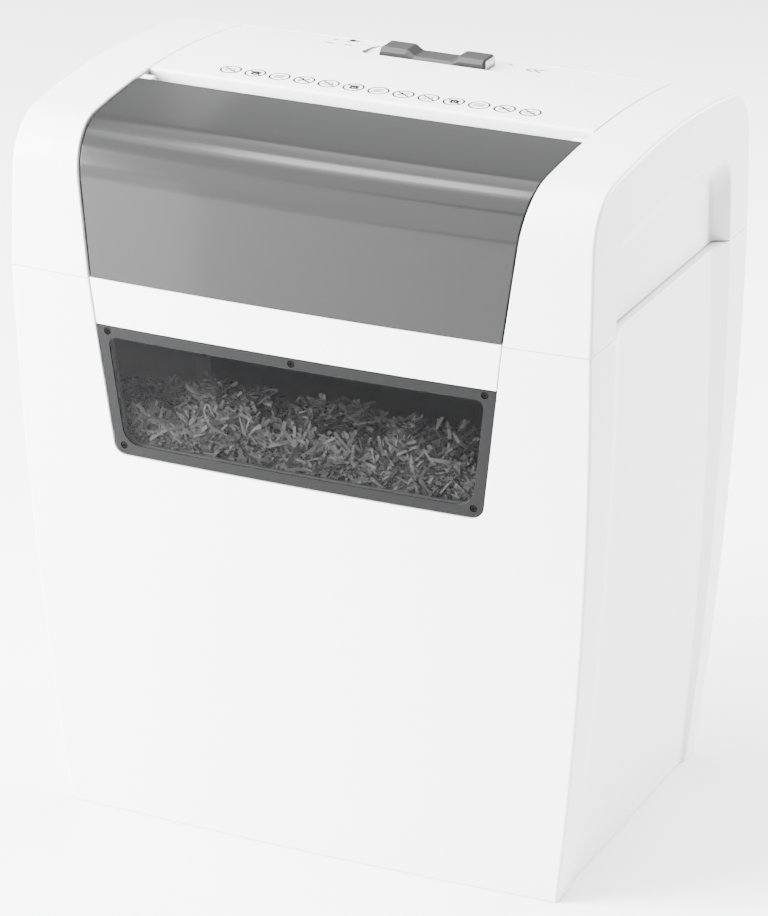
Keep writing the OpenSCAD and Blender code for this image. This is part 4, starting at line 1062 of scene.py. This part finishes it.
# Strokes of the four pictograms: points from the ring's centre, width, whether the line is closed
PICTOGRAMS = (
    [([(-2.6, -1.8), (2.6, -1.8), (1.2, 1.9), (-1.6, 1.2)], 0.6, True)],
    [(circle(0.4, -0.5, 1.7, 16), 1.2, True), ([(-3, 1.6), (0, 2.4), (3, 1.4)], 0.9, False)],
    [([(-2.8, y - 0.6), (0, y + 0.3), (2.8, y + 0.2)], 0.7, False) for y in (-1.8, 0, 1.8)],
    [(line, 1.0, False) for line in BENT_STROKES],
)
PLAIN_RING = 2
# Beside the slider: a run arrow, three short dashes (x, y, length) and a double chevron for reverse
RUN_ARROW = ((-56.4, 75.4), (-49.6, 79.4), (-56.4, 83.4))
DASHES = ((-62.5, 67.0, 5.0), (-63.2, 77.0, 3.0), (-51.5, 67.4, 4.6))
CHEVRON_TIPS = (52.3, 47.8)


def on_cover(x, y):
    return x, y * bulge(x), crown(y) + INK_LIFT


def ribbon(shape, points, width, loop=False):
    """A flat printed line that follows the crown of the cover."""
    p = np.array(points, float)
    if loop:
        p = closed(p)
    t = np.gradient(p, axis=0)
    if loop:
        t[0] = t[-1] = p[1] - p[-2]
    t /= np.linalg.norm(t, axis=1)[:, None] + TINY
    n = np.column_stack([-t[:, 1], t[:, 0]]) * width * PRINT_WEIGHT / 2
    shape.grid([[on_cover(x, y) for x, y in q] for q in (p - n, p + n)])


def make_marks():
    shape = Shape()
    for k in range(RING_COUNT):
        centre = np.array([-RING_X + 2 * RING_X * k / (RING_COUNT - 1), RING_Y])
        ribbon(shape, circle(*centre, RING_RADIUS - 0.3), 0.8, True)
        kind = k % len(PICTOGRAMS)
        if kind != PLAIN_RING:
            reach = np.array([math.cos(BAR_SLOPE), math.sin(BAR_SLOPE)]) * (RING_RADIUS - 0.5)
            ribbon(shape, [centre - reach, centre, centre + reach], 0.75)
        for line, width, loop in PICTOGRAMS[kind]:
            ribbon(shape, centre + line, width, loop)
    shape.region([RUN_ARROW], on_cover)
    for x, y, w in DASHES:
        ribbon(shape, [(x - w / 2, y), (x, y), (x + w / 2, y)], 1.2)
    for x in CHEVRON_TIPS:
        ribbon(shape, [(x + 4.5, 65.0), (x, 68.5), (x + 4.5, 72.0)], 1.1)
    obj = shape.build("top_marks", "head", [INK], centre=(0, 0, 300), merge=0.0005)


make_marks()

# ---- shredded paper

PILE_SEED = 47
PILE_HALF = 124.0
STRIP_COUNT = 12500
STRIP_WIDTH = (1.0, 2.1)
STRIP_LENGTH = (8, 18)
STRIP_CELLS = 4
# Share of the shreds that lie against the window, and how close they and the heap come to the bin's face
WINDOW_SHARE = 0.42
WINDOW_GAP = (7.2, 13.5)
LEAST_GAP = 5.4
FRONT_GAP, REAR_GAP = 9.0, 26.0
FRONT_LEVEL, REAR_LEVEL = 230, 150
HEAP_STEEP = 24
# No shred passes these, so all stay inside the bin and under the head
STRIP_REACH, STRIP_TOP = 132, 266
# Which paper a shred takes: mostly white, some grey, a few printed dark
PAPER_MIX = (0, 0, 0, 1, 1, 2)
CREST_X = (-110, -90, -57, -30, 10, 60, 100)
CREST_Z = (233, 235, 238.5, 241, 238.5, 239, 236)


def pile_height(x, y):
    """Top of the heap of shreds: a crest just behind the window that falls away to the rear."""
    behind = y - bin_front(FRONT_LEVEL) - 7
    crest = float(np.interp(x, CREST_X, CREST_Z))
    crest += 2.0 * math.sin(x * 0.11 + 0.5) + 1.8 * math.sin(x * 0.23 + y * 0.05)
    rise = min(1.0, max(0.0, behind / HEAP_STEEP))
    fall = max(0.0, behind - HEAP_STEEP)
    slope = 22 * (1 - rise) ** 2 + 0.014 * fall * fall + 0.75 * fall
    return crest - slope + 1.6 * math.sin(y * 0.17 + x * 0.07)


def make_paper():
    """A rough heap, and loose curled shreds over it and against the window."""
    rng = random.Random(PILE_SEED)
    heap = Shape()
    rows = []
    for t in np.linspace(0, 1, 56):
        row = []
        for x in np.linspace(-PILE_HALF, PILE_HALF, 80):
            ya = bin_front(FRONT_LEVEL) * bulge(x) + FRONT_GAP
            yb = bin_rear(REAR_LEVEL) * bulge(x) - REAR_GAP
            y = ya + (yb - ya) * t
            row.append((x, y, max(60, pile_height(x, y)) - 5 + rng.uniform(-2.0, 2.0)))
        rows.append(row)
    heap.grid(rows)
    top = np.array(rows)
    rim = np.vstack([top[0], top[1:, -1], top[-1, ::-1][1:], top[::-1][1:-1, 0], top[:1, 0]])
    heap.grid([rim, rim * [0.8, 0.8, 0] + [0, 0, 6]])
    # Painted shade: the heap takes the dark grey of PILE, under and between the shreds
    heap.build("paper_heap", "bin", [PILE], centre=(0, 0, 100))

    shreds = Shape()
    for _ in range(STRIP_COUNT):
        x = rng.uniform(-PILE_HALF + 3, PILE_HALF - 3)
        at_window = rng.random() < WINDOW_SHARE
        flat = rng.gauss(0, 0.45)
        if at_window:
            z_top = pile_height(x, bin_front(FRONT_LEVEL) + 19)
            z = rng.uniform(209, max(216, z_top - 1))
            y = bin_front(z) * bulge(x) + rng.uniform(*WINDOW_GAP)
            turn = rng.uniform(-1.35, 1.35) if rng.random() < 0.75 else rng.uniform(-math.pi, math.pi)
            along = Vector((math.cos(turn), 0.35 * math.sin(flat), math.sin(turn))).normalized()
            face = Vector((rng.gauss(0, 0.5), -1, rng.gauss(0.2, 0.6))).normalized()
        else:
            d = rng.random() ** 1.8
            y = bin_front(FRONT_LEVEL) * bulge(x) + FRONT_GAP + d * 95
            z = pile_height(x, y) + rng.uniform(-4.0, 1.5)
            turn = rng.uniform(-math.pi, math.pi)
            along = Vector((math.cos(turn), math.sin(turn), math.sin(flat))).normalized()
            face = Vector((rng.gauss(0, 0.45), rng.gauss(-0.25, 0.5), 1)).normalized()
        width = rng.uniform(*STRIP_WIDTH)
        length = rng.uniform(*STRIP_LENGTH)
        bend = rng.uniform(-0.8, 0.8)
        twist = rng.uniform(-1.2, 1.2)
        across = along.cross(face).normalized()
        face = across.cross(along).normalized()
        cells = []
        for i in range(STRIP_CELLS + 1):
            t = i / STRIP_CELLS - 0.5
            c = Vector((x, y, z)) + along * (t * length) + face * (bend * length * 0.5 * (t * t - 0.25))
            a = across * math.cos(twist * t) + face * math.sin(twist * t)
            cells.append([tuple(c - a * width / 2), tuple(c + a * width / 2)])
        cells = np.array(cells)
        limit = bin_front(cells[:, :, 2]) * bulge(cells[:, :, 0]) + LEAST_GAP
        cells[:, :, 1] += max(0.0, float((limit - cells[:, :, 1]).max()))
        if np.abs(cells[:, :, 0]).max() > STRIP_REACH or cells[:, :, 2].max() > STRIP_TOP:
            continue
        shreds.grid(cells, slot=rng.choice(PAPER_MIX))
    shreds.build("paper_shreds", "bin", [PAPER, PAPER_GREY, PAPER_DARK], centre=(0, 0, 0), weld=False)


make_paper()

# ---- CAD nodes that are shown as they are

EDGE_BEVEL = 0.12

for name, node in frame["nodes"].items():
    if node.hide_render:
        continue
    node.data.materials.clear()
    node.data.materials.append(SLOTS[node_slot[name]])
    bevel = node.modifiers.new("edges", "BEVEL")
    bevel.width = EDGE_BEVEL * MM
    bevel.segments = 1
    bevel.limit_method = "ANGLE"
    bevel.angle_limit = math.radians(40)

# ---- stage and lights

# Painted shade on the floor: its colour darkens beyond the right edge of the picture, standing in for less
# light there, which keeps some shape on the object's right side
FLOOR_FADE = (0.40, 0.75)
FLOOR_HALF = 14
FLOOR_PALE = (0.88, 0.88, 0.89, 1)
FLOOR_DARK = (0.40, 0.40, 0.41, 1)
SKY = (0.97, 0.985, 1.0, 1)
SKY_STRENGTH = 0.45
# Name, place, target, size and power. The band and the cards are what the glossy panel mirrors.
SOFTBOXES = (
    ("key", (-2.05, -1.35, 1.15), (0, 0, 0.2), (1.5, 1.3), 600),
    ("top", (0.15, 0.1, 2.5), (0, 0, 0.35), (1.2, 1.0), 145),
    ("band_core", (-0.80, -0.09, 2.37), (0, -0.09, 0.37), (0.42, 0.50), 18),
    ("band_glow", (-0.90, 0.45, 2.37), (0, 0.45, 0.37), (0.70, 2.10), 24),
    ("rear_side", (0.85, 1.05, 0.42), (0.1, 0, 0.20), (0.5, 0.5), 62),
    ("card_front", (-1.11, -1.97, 1.02), (0, -0.1, 0.37), (1.5, 2.09), 70),
    ("card_arch", (-0.83, -0.76, 2.13), (0, 0.23, 0.58), (1.3, 1.43), 34),
    ("card_low", (-0.345, -0.362, 0.23), (-0.345, 0.0, 0.23), (0.30, 0.36), 1.3),
    ("card_high", (-0.34, 0.18, 0.62), (-0.34, -0.40, -0.20), (0.20, 0.30), 0.15),
    ("card_back", (-0.50, 0.86, 1.51), (-0.02, -0.27, 0.83), (0.5, 1.6), 2.6),
)


def make_stage():
    mesh = bpy.data.meshes.new("floor")
    corners = ((-1, -1), (1, -1), (1, 1), (-1, 1))
    mesh.from_pydata([(x * FLOOR_HALF, y * FLOOR_HALF, 0) for x, y in corners], [], [(0, 1, 2, 3)])
    mat, tree, bsdf = nodes_of("floor")
    # Painted shade: the floor's colour runs from FLOOR_PALE to FLOOR_DARK towards the camera's right
    coords = tree.nodes.new("ShaderNodeTexCoord")
    side = tree.nodes.new("ShaderNodeVectorMath")
    side.operation = "DOT_PRODUCT"
    side.inputs[1].default_value = (math.cos(CAMERA_AZIMUTH), math.sin(CAMERA_AZIMUTH), 0)
    fade = tree.nodes.new("ShaderNodeMapRange")
    fade.interpolation_type = "SMOOTHSTEP"
    put(fade, {"From Min": FLOOR_FADE[0], "From Max": FLOOR_FADE[1]})
    link(tree, coords, "Object", side, 0, side, "Value", fade, "Value")
    colour_mix(tree, bsdf, FLOOR_PALE, FLOOR_DARK, fade, "Result")
    put(bsdf, {"Roughness": 0.7, "Specular IOR Level": 0.1})
    mesh.materials.append(mat)
    floor = new_object("floor", mesh)
    world = bpy.data.worlds.new("world")
    bpy.context.scene.world = world
    world.use_nodes = True
    put(world.node_tree.nodes["Background"], {"Color": SKY, "Strength": SKY_STRENGTH})


def softbox(name, place, target, size, power):
    """A rectangular lamp facing its target; the first side of its size is the one nearest the x axis."""
    data = bpy.data.lights.new(name, "AREA")
    data.shape = "RECTANGLE"
    data.size, data.size_y = size
    data.energy = power
    lamp = new_object(name, data)
    place = Vector(place)
    z = (place - Vector(target)).normalized()
    x = Vector((1, 0, 0))
    x = (x - z * x.dot(z)).normalized()
    lamp.matrix_world = Matrix.Translation(place) @ Matrix((x, z.cross(x), z)).transposed().to_4x4()
    lamp.visible_camera = False


make_stage()
for row in SOFTBOXES:
    softbox(*row)
